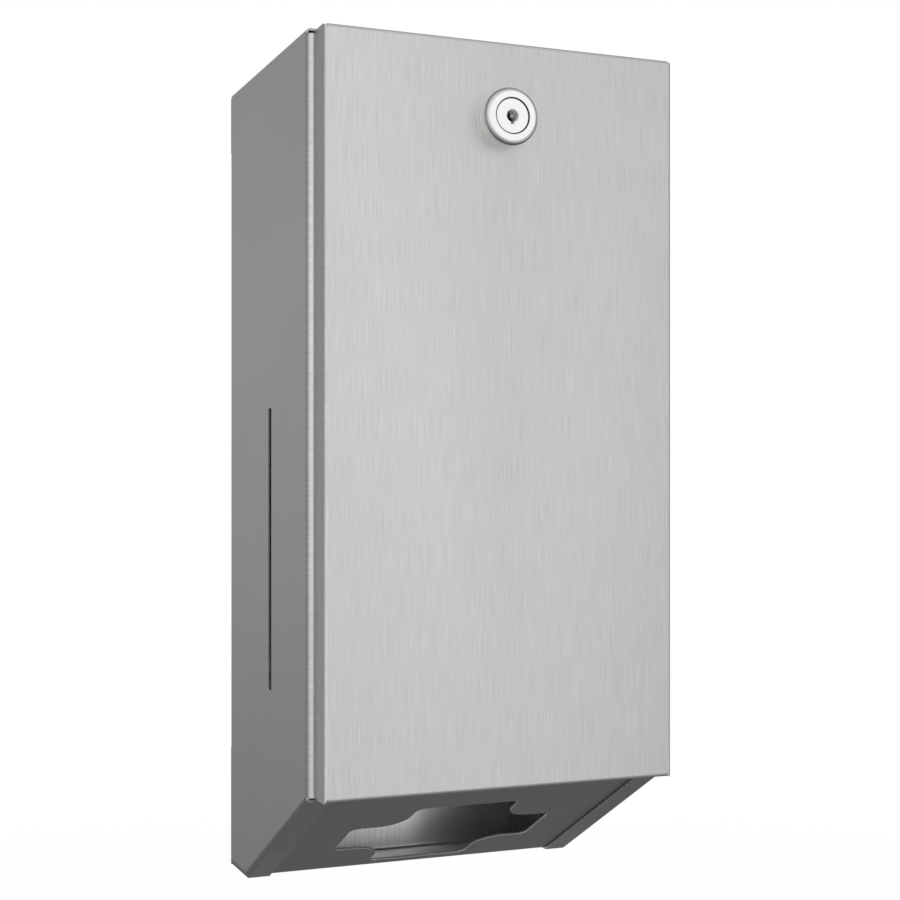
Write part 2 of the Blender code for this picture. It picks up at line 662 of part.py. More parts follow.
def body_leaf(material):
    """Fixed leaf: upright on the chute panel's upstand, its knuckles curled forward from its lower edge."""
    rear = HINGE_Y + KNUCKLE_RADIUS
    half = HINGE_LENGTH / 2
    plate_low = HINGE_Z + KNUCKLE_RADIUS + SEAM_GAP
    tab = ((rear - LEAF_SHEET, HINGE_Z), (rear, plate_low + SEAM_GAP))
    leaf = hinge_leaf("hinge_leaf_body", 0, tab, (-half, rear - LEAF_SHEET, plate_low),
                      (half, rear, HINGE_Z + LEAF_HEIGHT), material, None)
    holes = [prism(ring_points(RIVET_RADIUS + SEAT_GAP, ROUND_STEPS // 2), LEAF_SHEET + 2 * OVERRUN,
                   along_y(x, rear - LEAF_SHEET - OVERRUN, HINGE_Z + RIVET_HEIGHT)) for x in RIVET_PLACES]
    cut(leaf, make_cutter("leaf_rivet_cutter", join_meshes(holes)))
    return leaf


def door_leaf(material, pivot):
    """Moving leaf: flat on the door's bottom edge, its plate on a level with the rod."""
    half = HINGE_LENGTH / 2
    plate_rear = HINGE_Y - KNUCKLE_RADIUS - SEAM_GAP
    low = HINGE_Z - LEAF_SHEET / 2
    high = HINGE_Z + LEAF_SHEET / 2
    tab = ((plate_rear - SEAM_GAP, low), (HINGE_Y - KNUCKLE_BORE - LEAF_SHEET / 2, high))
    front = FRONT + SHEET + LEAF_FRONT_GAP
    leaf = hinge_leaf("hinge_leaf_door", 1, tab, (-half, front, low), (half, plate_rear, high),
                      material, pivot)
    holes = [prism(ring_points(RIVET_RADIUS + SEAT_GAP, ROUND_STEPS // 2), LEAF_SHEET + 2 * OVERRUN,
                   Matrix.Translation((x, door_rivet_y(), low - OVERRUN))) for x in RIVET_PLACES]
    cut(leaf, make_cutter("door_leaf_rivet_cutter", join_meshes(holes)))
    return leaf


def rivet(first_head, grip, matrix):
    """A rivet through a grip of sheets. Its Z starts at the first sheet, and it ends in a low head."""
    rim = RIVET_HEAD_RADIUS - EDGE_CHAMFER
    profile = first_head + [
        (RIVET_RADIUS, grip + SEAT_GAP), (RIVET_HEAD_RADIUS, grip + SEAT_GAP),
        (rim, grip + SEAT_GAP + RIVET_HEAD_HEIGHT), (0, grip + SEAT_GAP + RIVET_HEAD_HEIGHT),
    ]
    return turned(profile, ROUND_STEPS // 2, matrix)


def raised_head():
    rim = RIVET_HEAD_RADIUS - EDGE_CHAMFER
    low = -SEAT_GAP - RIVET_HEAD_HEIGHT
    return [(0, low), (rim, low), (RIVET_HEAD_RADIUS, -SEAT_GAP), (RIVET_RADIUS, -SEAT_GAP)]


def sunk_head():
    """A countersunk head, flush with the sheet."""
    return [(0, 0), (RIVET_HEAD_RADIUS, 0), (RIVET_RADIUS, RIVET_HEAD_HEIGHT)]


def sunk_rivet_hole(matrix):
    """Cutter for a countersunk hole through one sheet. Its Z starts at the outer face."""
    mouth = RIVET_HEAD_RADIUS + SEAT_GAP
    bore = RIVET_RADIUS + SEAT_GAP
    end = SHEET + OVERRUN
    profile = [(0, -OVERRUN), (mouth, -OVERRUN), (mouth, 0), (bore, RIVET_HEAD_HEIGHT), (bore, end), (0, end)]
    return turned(profile, ROUND_STEPS // 2, matrix)


def hinge_rivets(material, pivot):
    leaf_front = HINGE_Y + KNUCKLE_RADIUS - LEAF_SHEET
    body_grip = FACE + SHEET - leaf_front
    door_grip = HINGE_Z + LEAF_SHEET / 2 - DOOR_BOTTOM
    for number, x in enumerate(RIVET_PLACES, 1):
        fixed = rivet(raised_head(), body_grip, along_y(x, leaf_front, HINGE_Z + RIVET_HEIGHT))
        shade_round(make_object(f"hinge_rivet_body_{number}", fixed, material))
        moving = rivet(sunk_head(), door_grip, Matrix.Translation((x, door_rivet_y(), DOOR_BOTTOM)))
        shade_round(make_object(f"hinge_rivet_door_{number}", moving, material, pivot))


def upstand_rivet_cutter():
    holes = [prism(ring_points(RIVET_RADIUS + SEAT_GAP, ROUND_STEPS // 2), SHEET + 2 * OVERRUN,
                   along_y(x, FACE - OVERRUN, HINGE_Z + RIVET_HEIGHT)) for x in RIVET_PLACES]
    return make_cutter("upstand_rivet_cutter", join_meshes(holes))


def hinge_rod(material):
    end = ROD_RADIUS - EDGE_CHAMFER
    profile = [
        (0, 0), (end, 0), (ROD_RADIUS, EDGE_CHAMFER), (ROD_RADIUS, HINGE_LENGTH - EDGE_CHAMFER),
        (end, HINGE_LENGTH), (0, HINGE_LENGTH),
    ]
    mesh = turned(profile, ROUND_STEPS, along_x(-HINGE_LENGTH / 2, HINGE_Y, HINGE_Z))
    shade_round(make_object("hinge_rod", mesh, material))


# Lock: every turned piece is drawn with Z running back from the lock's face

def lock_place():
    return along_y(0, LOCK_FACE, LOCK_Z)


def back_of(y):
    """How far a place in Y lies behind the lock's face."""
    return y - LOCK_FACE


def lock_housing(material, pivot):
    """Head with a rounded shoulder and a straight wall, and barrel in one piece, with a stepped bore."""
    bore = PLUG_RADIUS + RUNNING_GAP
    face_bore = PLUG_FACE_RADIUS + RUNNING_GAP
    step = PLUG_RECESS + PLUG_FACE_DEPTH + SEAT_GAP
    base = LOCK_REACH - SEAT_GAP
    end = back_of(BARREL_END)
    rise = HEAD_RADIUS - HEAD_FACE_RADIUS
    rim = [(HEAD_FACE_RADIUS + rise * math.sin(a), HEAD_SHOULDER * (1 - math.cos(a)))
           for a in [math.pi / 2 * i / CORNER_STEPS for i in range(CORNER_STEPS + 1)]]
    profile = [
        (bore, end), (bore, step), (face_bore, step), (face_bore, 0), *rim,
        (HEAD_BASE_RADIUS, base), (BARREL_RADIUS, base), (BARREL_RADIUS, end - EDGE_CHAMFER),
        (BARREL_RADIUS - EDGE_CHAMFER, end),
    ]
    housing = make_object("lock_housing", turned(profile, HEAD_STEPS, lock_place()), material, pivot)
    shade_round(housing)


def keyhole_cutter():
    """Round keyhole with its notch below, sunk into the plug."""
    hole = ring_points(KEYHOLE_RADIUS, ROUND_STEPS)
    depth = KEYHOLE_DEPTH + OVERRUN
    start = along_y(0, PLUG_FACE - OVERRUN, LOCK_Z)
    cutter = make_cutter("keyhole_cutter", prism(hole, depth, start))
    low = LOCK_Z - KEY_NOTCH_REACH
    notch_end = PLUG_FACE + KEYHOLE_DEPTH - KEY_NOTCH_STEP
    notch = box((-KEY_NOTCH_WIDTH / 2, PLUG_FACE - OVERRUN, low), (KEY_NOTCH_WIDTH / 2, notch_end, LOCK_Z))
    return cutter, make_cutter("key_notch_cutter", notch)


def wafer_places():
    """Where each wafer starts in Y, spread evenly from the plug's wide face to the keyhole's floor."""
    start = PLUG_FACE + PLUG_FACE_DEPTH
    pitch = (KEYHOLE_DEPTH - PLUG_FACE_DEPTH) / WAFER_COUNT
    return [start + index * pitch + (pitch - WAFER_SHEET) / 2 for index in range(WAFER_COUNT)]


def lock_plug(material, pivot):
    """The part that turns: a wide face, a core in the bore and a square tail for the cam."""
    end = back_of(BARREL_END)
    face = PLUG_RECESS + PLUG_FACE_DEPTH
    profile = [
        (0, PLUG_RECESS), (PLUG_FACE_RADIUS - EDGE_CHAMFER, PLUG_RECESS),
        (PLUG_FACE_RADIUS, PLUG_RECESS + EDGE_CHAMFER), (PLUG_FACE_RADIUS, face),
        (PLUG_RADIUS, face), (PLUG_RADIUS, end), (0, end),
    ]
    plug = make_object("lock_plug", turned(profile, HEAD_STEPS, lock_place()), material, pivot)
    tail_half = TAIL_ACROSS / 2
    tail = box((-tail_half, BARREL_END - OVERRUN, LOCK_Z - tail_half),
               (tail_half, CAM_FRONT + CAM_SHEET, LOCK_Z + tail_half))
    joined = plug.modifiers.new("Tail", "BOOLEAN")
    joined.operation = "UNION"
    joined.solver = "EXACT"
    joined.object = make_cutter("plug_tail", tail)
    for cutter in keyhole_cutter():
        cut(plug, cutter)
    slots = []
    for place in wafer_places():
        slots.append(box(
            (-WAFER_WIDTH / 2 - SEAT_GAP, place - SEAT_GAP, LOCK_Z - WAFER_HEIGHT / 2 - SEAT_GAP),
            (WAFER_WIDTH / 2 + SEAT_GAP, place + WAFER_SHEET + SEAT_GAP, LOCK_Z + PLUG_RADIUS + OVERRUN)))
    cut(plug, make_cutter("wafer_slot_cutter", join_meshes(slots)))
    thread = ring_points(SCREW_RADIUS + RUNNING_GAP, ROUND_STEPS // 2)
    length = SCREW_REACH + SEAT_GAP + OVERRUN
    cut(plug, make_cutter("cam_thread_cutter", prism(thread, length, along_y(0, THREAD_START, LOCK_Z))))
    shade_round(plug)


def lock_centre_pin(material, pivot):
    """The pin that a hollow key slides over. It stands on the keyhole's floor."""
    length = KEYHOLE_DEPTH - SEAT_GAP
    profile = [
        (0, EDGE_CHAMFER), (CENTRE_PIN_RADIUS - EDGE_CHAMFER, EDGE_CHAMFER),
        (CENTRE_PIN_RADIUS, 2 * EDGE_CHAMFER), (CENTRE_PIN_RADIUS, length), (0, length),
    ]
    mesh = turned(profile, ROUND_STEPS // 2, along_y(0, PLUG_FACE, LOCK_Z))
    shade_round(make_object("lock_centre_pin", mesh, material, pivot))


def lock_wafers(material, pivot):
    """Flat wafers in the plug's slots, each with a round hole for the key."""
    hole = prism(ring_points(KEYHOLE_RADIUS, ROUND_STEPS), KEYHOLE_DEPTH,
                 along_y(0, wafer_places()[0] - OVERRUN, LOCK_Z))
    cutter = make_cutter("wafer_hole_cutter", hole)
    for number, place in enumerate(wafer_places(), 1):
        plate = box((-WAFER_WIDTH / 2, place, LOCK_Z - WAFER_HEIGHT / 2),
                    (WAFER_WIDTH / 2, place + WAFER_SHEET, LOCK_Z + WAFER_HEIGHT / 2))
        cut(make_object(f"lock_wafer_{number}", plate, material, pivot), cutter)


def lock_fasteners(material, pivot):
    """Washer and hexagon nut that hold the lock in the door."""
    washer_front = back_of(FRONT + SHEET + SEAT_GAP)
    bore = BARREL_RADIUS + SEAT_GAP
    washer = [
        (bore, washer_front), (WASHER_RADIUS, washer_front),
        (WASHER_RADIUS, washer_front + WASHER_SHEET), (bore, washer_front + WASHER_SHEET),
    ]
    shade_round(make_object("lock_washer", turned(washer, ROUND_STEPS, lock_place()), material, pivot))
    nut_front = FRONT + SHEET + SEAT_GAP + WASHER_SHEET + SEAT_GAP
    corner = NUT_ACROSS / math.sqrt(3)
    nut = make_object("lock_nut", prism(ring_points(corner, 6), NUT_HEIGHT, along_y(0, nut_front, LOCK_Z)),
                      material, pivot)
    hole = prism(ring_points(bore, ROUND_STEPS), NUT_HEIGHT + 2 * OVERRUN,
                 along_y(0, nut_front - OVERRUN, LOCK_Z))
    cut(nut, make_cutter("nut_hole_cutter", hole))


def lock_cam(material, pivot):
    """Cam with a round hub and an arm to -X, which a quarter turn raises behind the housing's lip."""
    half = CAM_WIDTH / 2
    arm = CAM_LENGTH - half
    outline = arc_points((0, 0), half, -math.pi / 2, math.pi / 2, ROUND_STEPS // 2)
    outline += arc_points((-arm, 0), half, math.pi / 2, 3 * math.pi / 2, ROUND_STEPS // 2)
    cam = make_object("lock_cam", prism(outline, CAM_SHEET, along_y(0, CAM_FRONT, LOCK_Z)), material, pivot)
    reach = TAIL_ACROSS / 2 + SEAT_GAP
    hole = box((-reach, CAM_FRONT - OVERRUN, LOCK_Z - reach),
               (reach, CAM_FRONT + CAM_SHEET + OVERRUN, LOCK_Z + reach))
    cut(cam, make_cutter("cam_hole_cutter", hole))


def lock_cam_fixing(material, pivot):
    """Washer and slotted screw that hold the cam on the plug's tail."""
    washer_front = back_of(CAM_FRONT + CAM_SHEET + SEAT_GAP)
    washer_back = washer_front + CAM_WASHER_SHEET
    bore = SCREW_RADIUS + SEAT_GAP
    washer = [
        (bore, washer_front), (CAM_WASHER_RADIUS, washer_front),
        (CAM_WASHER_RADIUS, washer_back), (bore, washer_back),
    ]
    shade_round(make_object("lock_cam_washer", turned(washer, ROUND_STEPS, lock_place()), material, pivot))
    head_front = washer_back + SEAT_GAP
    head_back = head_front + SCREW_HEAD_HEIGHT
    tip = back_of(CAM_FRONT + CAM_SHEET - SCREW_REACH)
    profile = [
        (0, tip), (SCREW_RADIUS - EDGE_CHAMFER, tip), (SCREW_RADIUS, tip + EDGE_CHAMFER),
        (SCREW_RADIUS, head_front), (SCREW_HEAD_RADIUS, head_front),
        (SCREW_HEAD_RADIUS, head_back - EDGE_CHAMFER), (SCREW_HEAD_RADIUS - EDGE_CHAMFER, head_back),
        (0, head_back),
    ]
    screw = make_object("lock_cam_screw", turned(profile, ROUND_STEPS // 2, lock_place()), material, pivot)
    rear = LOCK_FACE + head_back
    slot = box((-SCREW_HEAD_RADIUS - OVERRUN, rear - SCREW_HEAD_HEIGHT / 2, LOCK_Z - SCREW_SLOT_WIDTH / 2),
               (SCREW_HEAD_RADIUS + OVERRUN, rear + OVERRUN, LOCK_Z + SCREW_SLOT_WIDTH / 2))
    cut(screw, make_cutter("screw_slot_cutter", slot))
    shade_round(screw)


def build():
    clear_scene()
    brushed = make_material("brushed_stainless", (0.58, 0.58, 0.57), 0.34, 1.0)
    plain = make_material("plain_stainless", (0.42, 0.42, 0.41), 0.42, 1.0)
    zinc = make_material("zinc_plated", (0.62, 0.62, 0.60), 0.38, 1.0)
    chrome = make_material("polished_chrome", (0.88, 0.88, 0.88), 0.08, 1.0)
    brass = make_material("brass", (0.72, 0.55, 0.28), 0.35, 1.0)

    door_pivot = make_pivot("door_pivot", Vector((0, HINGE_Y, HINGE_Z)))
    lock_pivot = make_pivot("lock_pivot", Vector((0, FRONT, LOCK_Z)), door_pivot)

    left = side_panel("side_panel_left", -1, brushed)
    cut(left, slit_cutter())
    side_panel("side_panel_right", 1, brushed)
    back_panel(plain)
    top_panel(brushed)
    chute = chute_panel(brushed)
    cut(chute, upstand_rivet_cutter())

    door_panel(brushed, door_pivot)
    body_leaf(plain)
    door_leaf(plain, door_pivot)
    hinge_rod(zinc)
    hinge_rivets(zinc, door_pivot)

    lock_housing(chrome, door_pivot)
    lock_fasteners(zinc, door_pivot)
    lock_plug(chrome, lock_pivot)
    lock_centre_pin(zinc, lock_pivot)
    lock_wafers(brass, lock_pivot)
    lock_cam(zinc, lock_pivot)
    lock_cam_fixing(zinc, lock_pivot)


build()
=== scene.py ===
import math

import bmesh
import bpy
import numpy as np
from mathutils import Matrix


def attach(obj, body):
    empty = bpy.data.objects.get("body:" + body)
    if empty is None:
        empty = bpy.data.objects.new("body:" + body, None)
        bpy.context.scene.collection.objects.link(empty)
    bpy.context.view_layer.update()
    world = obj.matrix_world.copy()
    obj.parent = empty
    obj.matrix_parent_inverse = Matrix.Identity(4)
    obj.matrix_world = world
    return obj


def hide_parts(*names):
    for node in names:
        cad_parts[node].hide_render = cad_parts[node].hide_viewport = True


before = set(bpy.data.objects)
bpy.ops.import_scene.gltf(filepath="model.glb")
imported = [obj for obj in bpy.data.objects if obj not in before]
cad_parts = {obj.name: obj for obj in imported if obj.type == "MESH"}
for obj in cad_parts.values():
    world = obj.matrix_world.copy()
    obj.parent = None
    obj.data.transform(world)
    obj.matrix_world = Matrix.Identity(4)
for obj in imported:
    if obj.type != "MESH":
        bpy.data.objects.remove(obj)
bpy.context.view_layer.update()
mm = 0.001
sharpAngle = math.radians(40)
mergeSteps = 1e4                 # corners that agree to this part of a millimetre become one


# Tools for the meshes

def unit(values):
    vector = np.asarray(values, float)
    return vector / np.linalg.norm(vector)


# Arc: centre plus radius times the cosine and sine of angles that run evenly from first to last
def arc(centre, radius, first, last, steps):
    angle = np.radians(np.linspace(first, last, steps + 1))
    return np.column_stack((centre[0] + radius * np.cos(angle), centre[1] + radius * np.sin(angle)))


# Steel tone with painted shade by the way a face looks: (tone, share) of a flat face, with the sides, top,
# rear and underside painted darker than the front as light falls; share says how far the light and shade
# curves change it
faceToneAndShade = {
    "side": (.262, 1), "front": (.604, 1), "return": (.45, .7), "doorSide": (.31, 1),
    "doorSideRear": (.40, 1), "up": (.30, 0), "rear": (.42, .5), "down": (.098, 0),
}
# Painted shade and highlight along a fold: the tone goes by the turn in degrees, as the photographed bends
# do:
# from side to front it dips just round the corner and peaks past the middle. The last pair is the share of
# the light and shade curves.
foldShadeAndHighlight = {
    "sideToFront": ([0, 11, 22, 31, 39, 46, 53, 60, 67, 73, 80, 90],
                    [.262, .226, .195, .205, .290, .420, .530, .585, .570, .540, .500, .45], (1, .7)),
    "sideToUp": ([0, 30, 60, 90], [.262, .25, .28, .30], (1, 0)),
    "sideToRear": ([0, 90], [.262, .42], (1, .5)),
    "sideToDown": ([0, 15, 30, 60, 90], [.145, .138, .132, .118, .106], (1, 0)),
    "upToRear": ([0, 90], [.30, .42], (0, .5)),
    "frontToLeft": ([0, 10, 22, 37, 51, 68, 78, 90], [.604, .70, .69, .53, .38, .255, .25, .31], (1, 1)),
    "frontToRight": ([0, 15, 30, 45, 70, 90], [.604, .55, .33, .20, .15, .31], (1, 1)),
    "frontToUp": ([0, 8, 22, 43, 65, 90], [.604, .53, .465, .36, .30, .29], (1, 0)),
    "frontToDown": ([0, 5, 10, 20, 38, 60, 90], [.604, .54, .44, .32, .19, .135, .10], (1, 0)),
    "returnToDown": ([0, 25, 60], [.45, .13, .098], (.7, 0)),
    "down": ([0, 90], [.098, .098], (0, 0)),
}
# Folds whose hairlines run across them
crossFolds = ("sideToFront", "frontToLeft", "frontToRight")


# Looks hold tone, share and touch to a point; the tone carries painted shade and painted highlight. Touch is
# how strong a fold's hairlines are, or how dull a turned piece is. What isn't given is zero.
def fullLooks(looks, count):
    looks = np.atleast_2d(np.asarray(looks, float))
    return np.broadcast_to(np.pad(looks, ((0, 0), (0, 3 - looks.shape[1]))), (count, 3))


def newSheet():
    return {"points": [], "looks": [], "faces": [], "count": 0}


# A flat face with any outline
def addFlat(sheet, points, look):
    points = np.asarray(points, float)
    sheet["faces"].append(list(range(sheet["count"], sheet["count"] + len(points))))
    sheet["points"].append(points)
    sheet["looks"].append(fullLooks(look, len(points)))
    sheet["count"] += len(points)


# Tone, share and touch for each turn of a fold, where the tone is painted shade and painted highlight
def foldLooks(name, turns):
    angles, tones, shares = foldShadeAndHighlight[name]
    degrees = np.degrees(turns)
    touch = np.sin(2 * turns) * (name in crossFolds)
    return np.column_stack((np.interp(degrees, angles, tones),
                            np.interp(degrees, (angles[0], angles[-1]), shares), touch))


# A grid of points, rows by columns, as four-cornered faces; there is one look to a row
def addGrid(sheet, points, looks):
    rows, columns = points.shape[:2]
    index = sheet["count"] + np.arange(rows * columns).reshape(rows, columns)
    quads = np.stack((index[:-1, :-1], index[1:, :-1], index[1:, 1:], index[:-1, 1:]), axis=-1)
    sheet["faces"] += quads.reshape(-1, 4).tolist()
    sheet["points"].append(points.reshape(-1, 3))
    sheet["looks"].append(np.repeat(fullLooks(looks, rows), columns, axis=0))
    sheet["count"] += rows * columns


# Folded edge: a quarter round of the radius, then a flat run, carried along the line from start to end.
# out = radius sin(a), in = radius (1 - cos(a)); a skew slides an end along the line by its share of out.
def foldedEdge(sheet, start, end, outward, inward, radius, run, tones, skews=(0, 0), shares=(0, 1), steps=14):
    start, end = np.asarray(start, float), np.asarray(end, float)
    outward, inward, along = unit(outward), unit(inward), unit(end - start)
    a = np.linspace(0, np.pi / 2, steps + 1)
    out = np.append(radius * np.sin(a), radius)
    deep = np.append(radius * (1 - np.cos(a)), radius + run)
    if run == 0:
        out, deep = out[:-1], deep[:-1]
    turn = np.append(a, np.pi / 2)[:len(out)]
    share = np.asarray(shares, float)
    line = start + share[:, None] * (end - start)
    slide = skews[0] + share * (skews[1] - skews[0])
    points = (line[None] + out[:, None, None] * outward + deep[:, None, None] * inward
              + (out[:, None] * slide[None])[..., None] * along)
    addGrid(sheet, points, foldLooks(tones, turn))
    return points


def evenShading(piece):
    shading = piece.modifiers.new("Even shading", "WEIGHTED_NORMAL")
    shading.weight = 100


# Thickness behind the mesh, with material slots for its inner side and its cut edges, then rounded edges
def edgeWear(piece, width, thickness=None, slots=None):
    if thickness:
        wall = piece.modifiers.new("Thickness", "SOLIDIFY")
        wall.thickness = thickness * mm
        wall.offset = -1
        wall.use_even_offset = True
        wall.material_offset, wall.material_offset_rim = slots
    rounding = piece.modifiers.new("Broken edges", "BEVEL")
    rounding.width = width * mm
    rounding.segments = 2
    rounding.limit_method = "ANGLE"
    rounding.angle_limit = sharpAngle
    evenShading(piece)


def addObject(name, data):
    item = bpy.data.objects.new(name, data)
    bpy.context.scene.collection.objects.link(item)
    return item


# Writes a mesh: doubles are merged by rounding, faces are turned outwards and the looks go in as attributes
def writePiece(name, points, faces, looks, materials, node, body, outward=None):
    keys = np.round(np.asarray(points) * mergeSteps).astype(np.int64)
    _, first, inverse = np.unique(keys, axis=0, return_index=True, return_inverse=True)
    inverse = inverse.ravel()
    places = np.asarray(points)[first] * mm
    merged = [list(dict.fromkeys(inverse[face].tolist())) for face in faces]
    data = bpy.data.meshes.new(name)
    data.from_pydata(places.tolist(), [], [face for face in merged if len(face) > 2])
    shell = bmesh.new()
    shell.from_mesh(data)
    bmesh.ops.recalc_face_normals(shell, faces=shell.faces)
    shell.faces.ensure_lookup_table()
    if outward is not None and shell.faces[0].normal.dot(outward) < 0:
        bmesh.ops.reverse_faces(shell, faces=shell.faces)
    shell.to_mesh(data)
    shell.free()
    for column, title in enumerate(("tone", "share", "touch")):
        attribute = data.attributes.new(title, "FLOAT", "POINT")
        attribute.data.foreach_set("value", np.asarray(looks, np.float32)[first, column])
    data.shade_smooth()
    piece = addObject(name, data)
    for material in materials:
        data.materials.append(material)
    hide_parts(node)
    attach(piece, body)
    return piece


# Writes a folded sheet. Its finishes are those of the outer side, the inner side and the cut edges.
def finishSheet(name, sheet, outward, finishNames, node, body="housing"):
    points, looks = np.concatenate(sheet["points"]), np.concatenate(sheet["looks"])
    materials = [finish[title] for title in finishNames]
    piece = writePiece(name, points, sheet["faces"], looks, materials, node, body, outward)
    edgeWear(piece, housing["edgeRadius"], housing["sheet"], (1, 2))


# Turned piece: a profile of radii and of places in Y, carried round an axis along Y.
# x = radius sin(a), z = radius cos(a), so a = 0 is at the top and the angle runs towards +X.
def turnedGrid(radii, places, axisZ, angles):
    radii = np.broadcast_to(radii, (len(places), len(angles)))
    return np.stack((radii * np.sin(angles), np.broadcast_to(np.asarray(places)[:, None], radii.shape),
                     axisZ + radii * np.cos(angles)), axis=-1)


# Looks of a turned piece: a tone to a row, or to a row and an angle, no light and shade curves, and a touch
# to a row; the tones are painted reflection, highlight and shade
def roundLooks(tones, angles, touches=0.0):
    touches = np.broadcast_to(touches, len(tones))
    tones = np.array([np.broadcast_to(tone, angles.shape) for tone in tones]).ravel()
    return np.column_stack((tones, np.zeros_like(tones), np.repeat(touches, len(angles))))


# Faces of a turned grid. A tube's last row is joined to its first; other profiles end on the axis.
def turnedFaces(rows, columns, tube=False):
    index = np.arange(rows * columns).reshape(rows, columns)
    after = np.roll(index, -1, axis=1)
    faces = np.stack((index[:-1], after[:-1], after[1:], index[1:]), axis=-1).reshape(-1, 4).tolist()
    if tube:
        faces += np.stack((index[-1], after[-1], after[0], index[0]), axis=-1).tolist()
    return faces


def angleSteps(count):
    return np.arange(count) * 2 * np.pi / count


# Finishes

def addNode(tree, kind, inputs=(), **settings):
    node = tree.nodes.new("ShaderNode" + kind)
    for name, value in settings.items():
        setattr(node, name, value)
    for key, value in dict(inputs).items():
        if isinstance(value, bpy.types.NodeSocket):
            tree.links.new(value, node.inputs[key])
        else:
            node.inputs[key].default_value = value
    return node


def calculate(tree, operation, first, second=0.0, third=0.0):
    return addNode(tree, "Math", {0: first, 1: second, 2: third}, operation=operation).outputs[0]


def readAttribute(tree, title):
    return addNode(tree, "Attribute", attribute_name=title, attribute_type="GEOMETRY").outputs["Fac"]


# Noise on Object coordinates, drawn out along the grain: scales are features per metre along X, Y and Z
def grainNoise(tree, scales, detail=2.0, roughness=0.55):
    place = addNode(tree, "TexCoord").outputs["Object"]
    stretched = addNode(tree, "Mapping", {"Vector": place, "Scale": scales}).outputs["Vector"]
    settings = {"Vector": stretched, "Scale": 1.0, "Detail": detail, "Roughness": roughness}
    return addNode(tree, "TexNoise", settings).outputs["Fac"]


# Light and shade curve along one axis: a Float Curve over the places from low to high that paints a face
# lighter or darker along it, as painted light and shade. The curve ends at 1, so values are halved in it and
# doubled after it.
def lightAndShadeCurve(tree, axis, low, high, knots):
    place = addNode(tree, "TexCoord").outputs["Object"]
    along = addNode(tree, "SeparateXYZ", {0: place}).outputs[axis]
    share = addNode(tree, "MapRange", {"Value": along, "From Min": low * mm, "From Max": high * mm})
    curve = addNode(tree, "FloatCurve", {"Value": share.outputs[0]})
    points = curve.mapping.curves[0].points
    for number, (knot, level) in enumerate(knots):
        x, y = (knot - low) / (high - low), level / 2
        if number == 0:
            points[0].location = (x, y)
        elif number == len(knots) - 1:
            points[len(points) - 1].location = (x, y)
        else:
            points.new(x, y)
    curve.mapping.update()
    return calculate(tree, "MULTIPLY", curve.outputs[0], 2.0)


# What all finishes share: scales in features per metre, the usual strength of specks, and their scale as a
# share of the grain's
grainLook = {
    "clouds": (28, 28, 28), "cloudDetail": 3.0, "acrossFold": (150, 150, 3800),
    "specks": 0.4, "speckShare": 0.31, "speckDetail": 4.0, "speckRoughness": 0.7,
    "fullTone": 0.6,                    # tone at which the streaks have the strength given
    "tintRange": (0.15, 0.6),           # tones of the darker and the lighter tint
    "noiseRange": (0.3, 0.7),           # noise that gives the lowest and the highest roughness
    "roughGrain": 0.6,                  # share of the grain in the roughness, and the clouds have the rest
    "relief": 0.00002,
    "edgeCurve": (0.294, 0.473, 0.527),
}
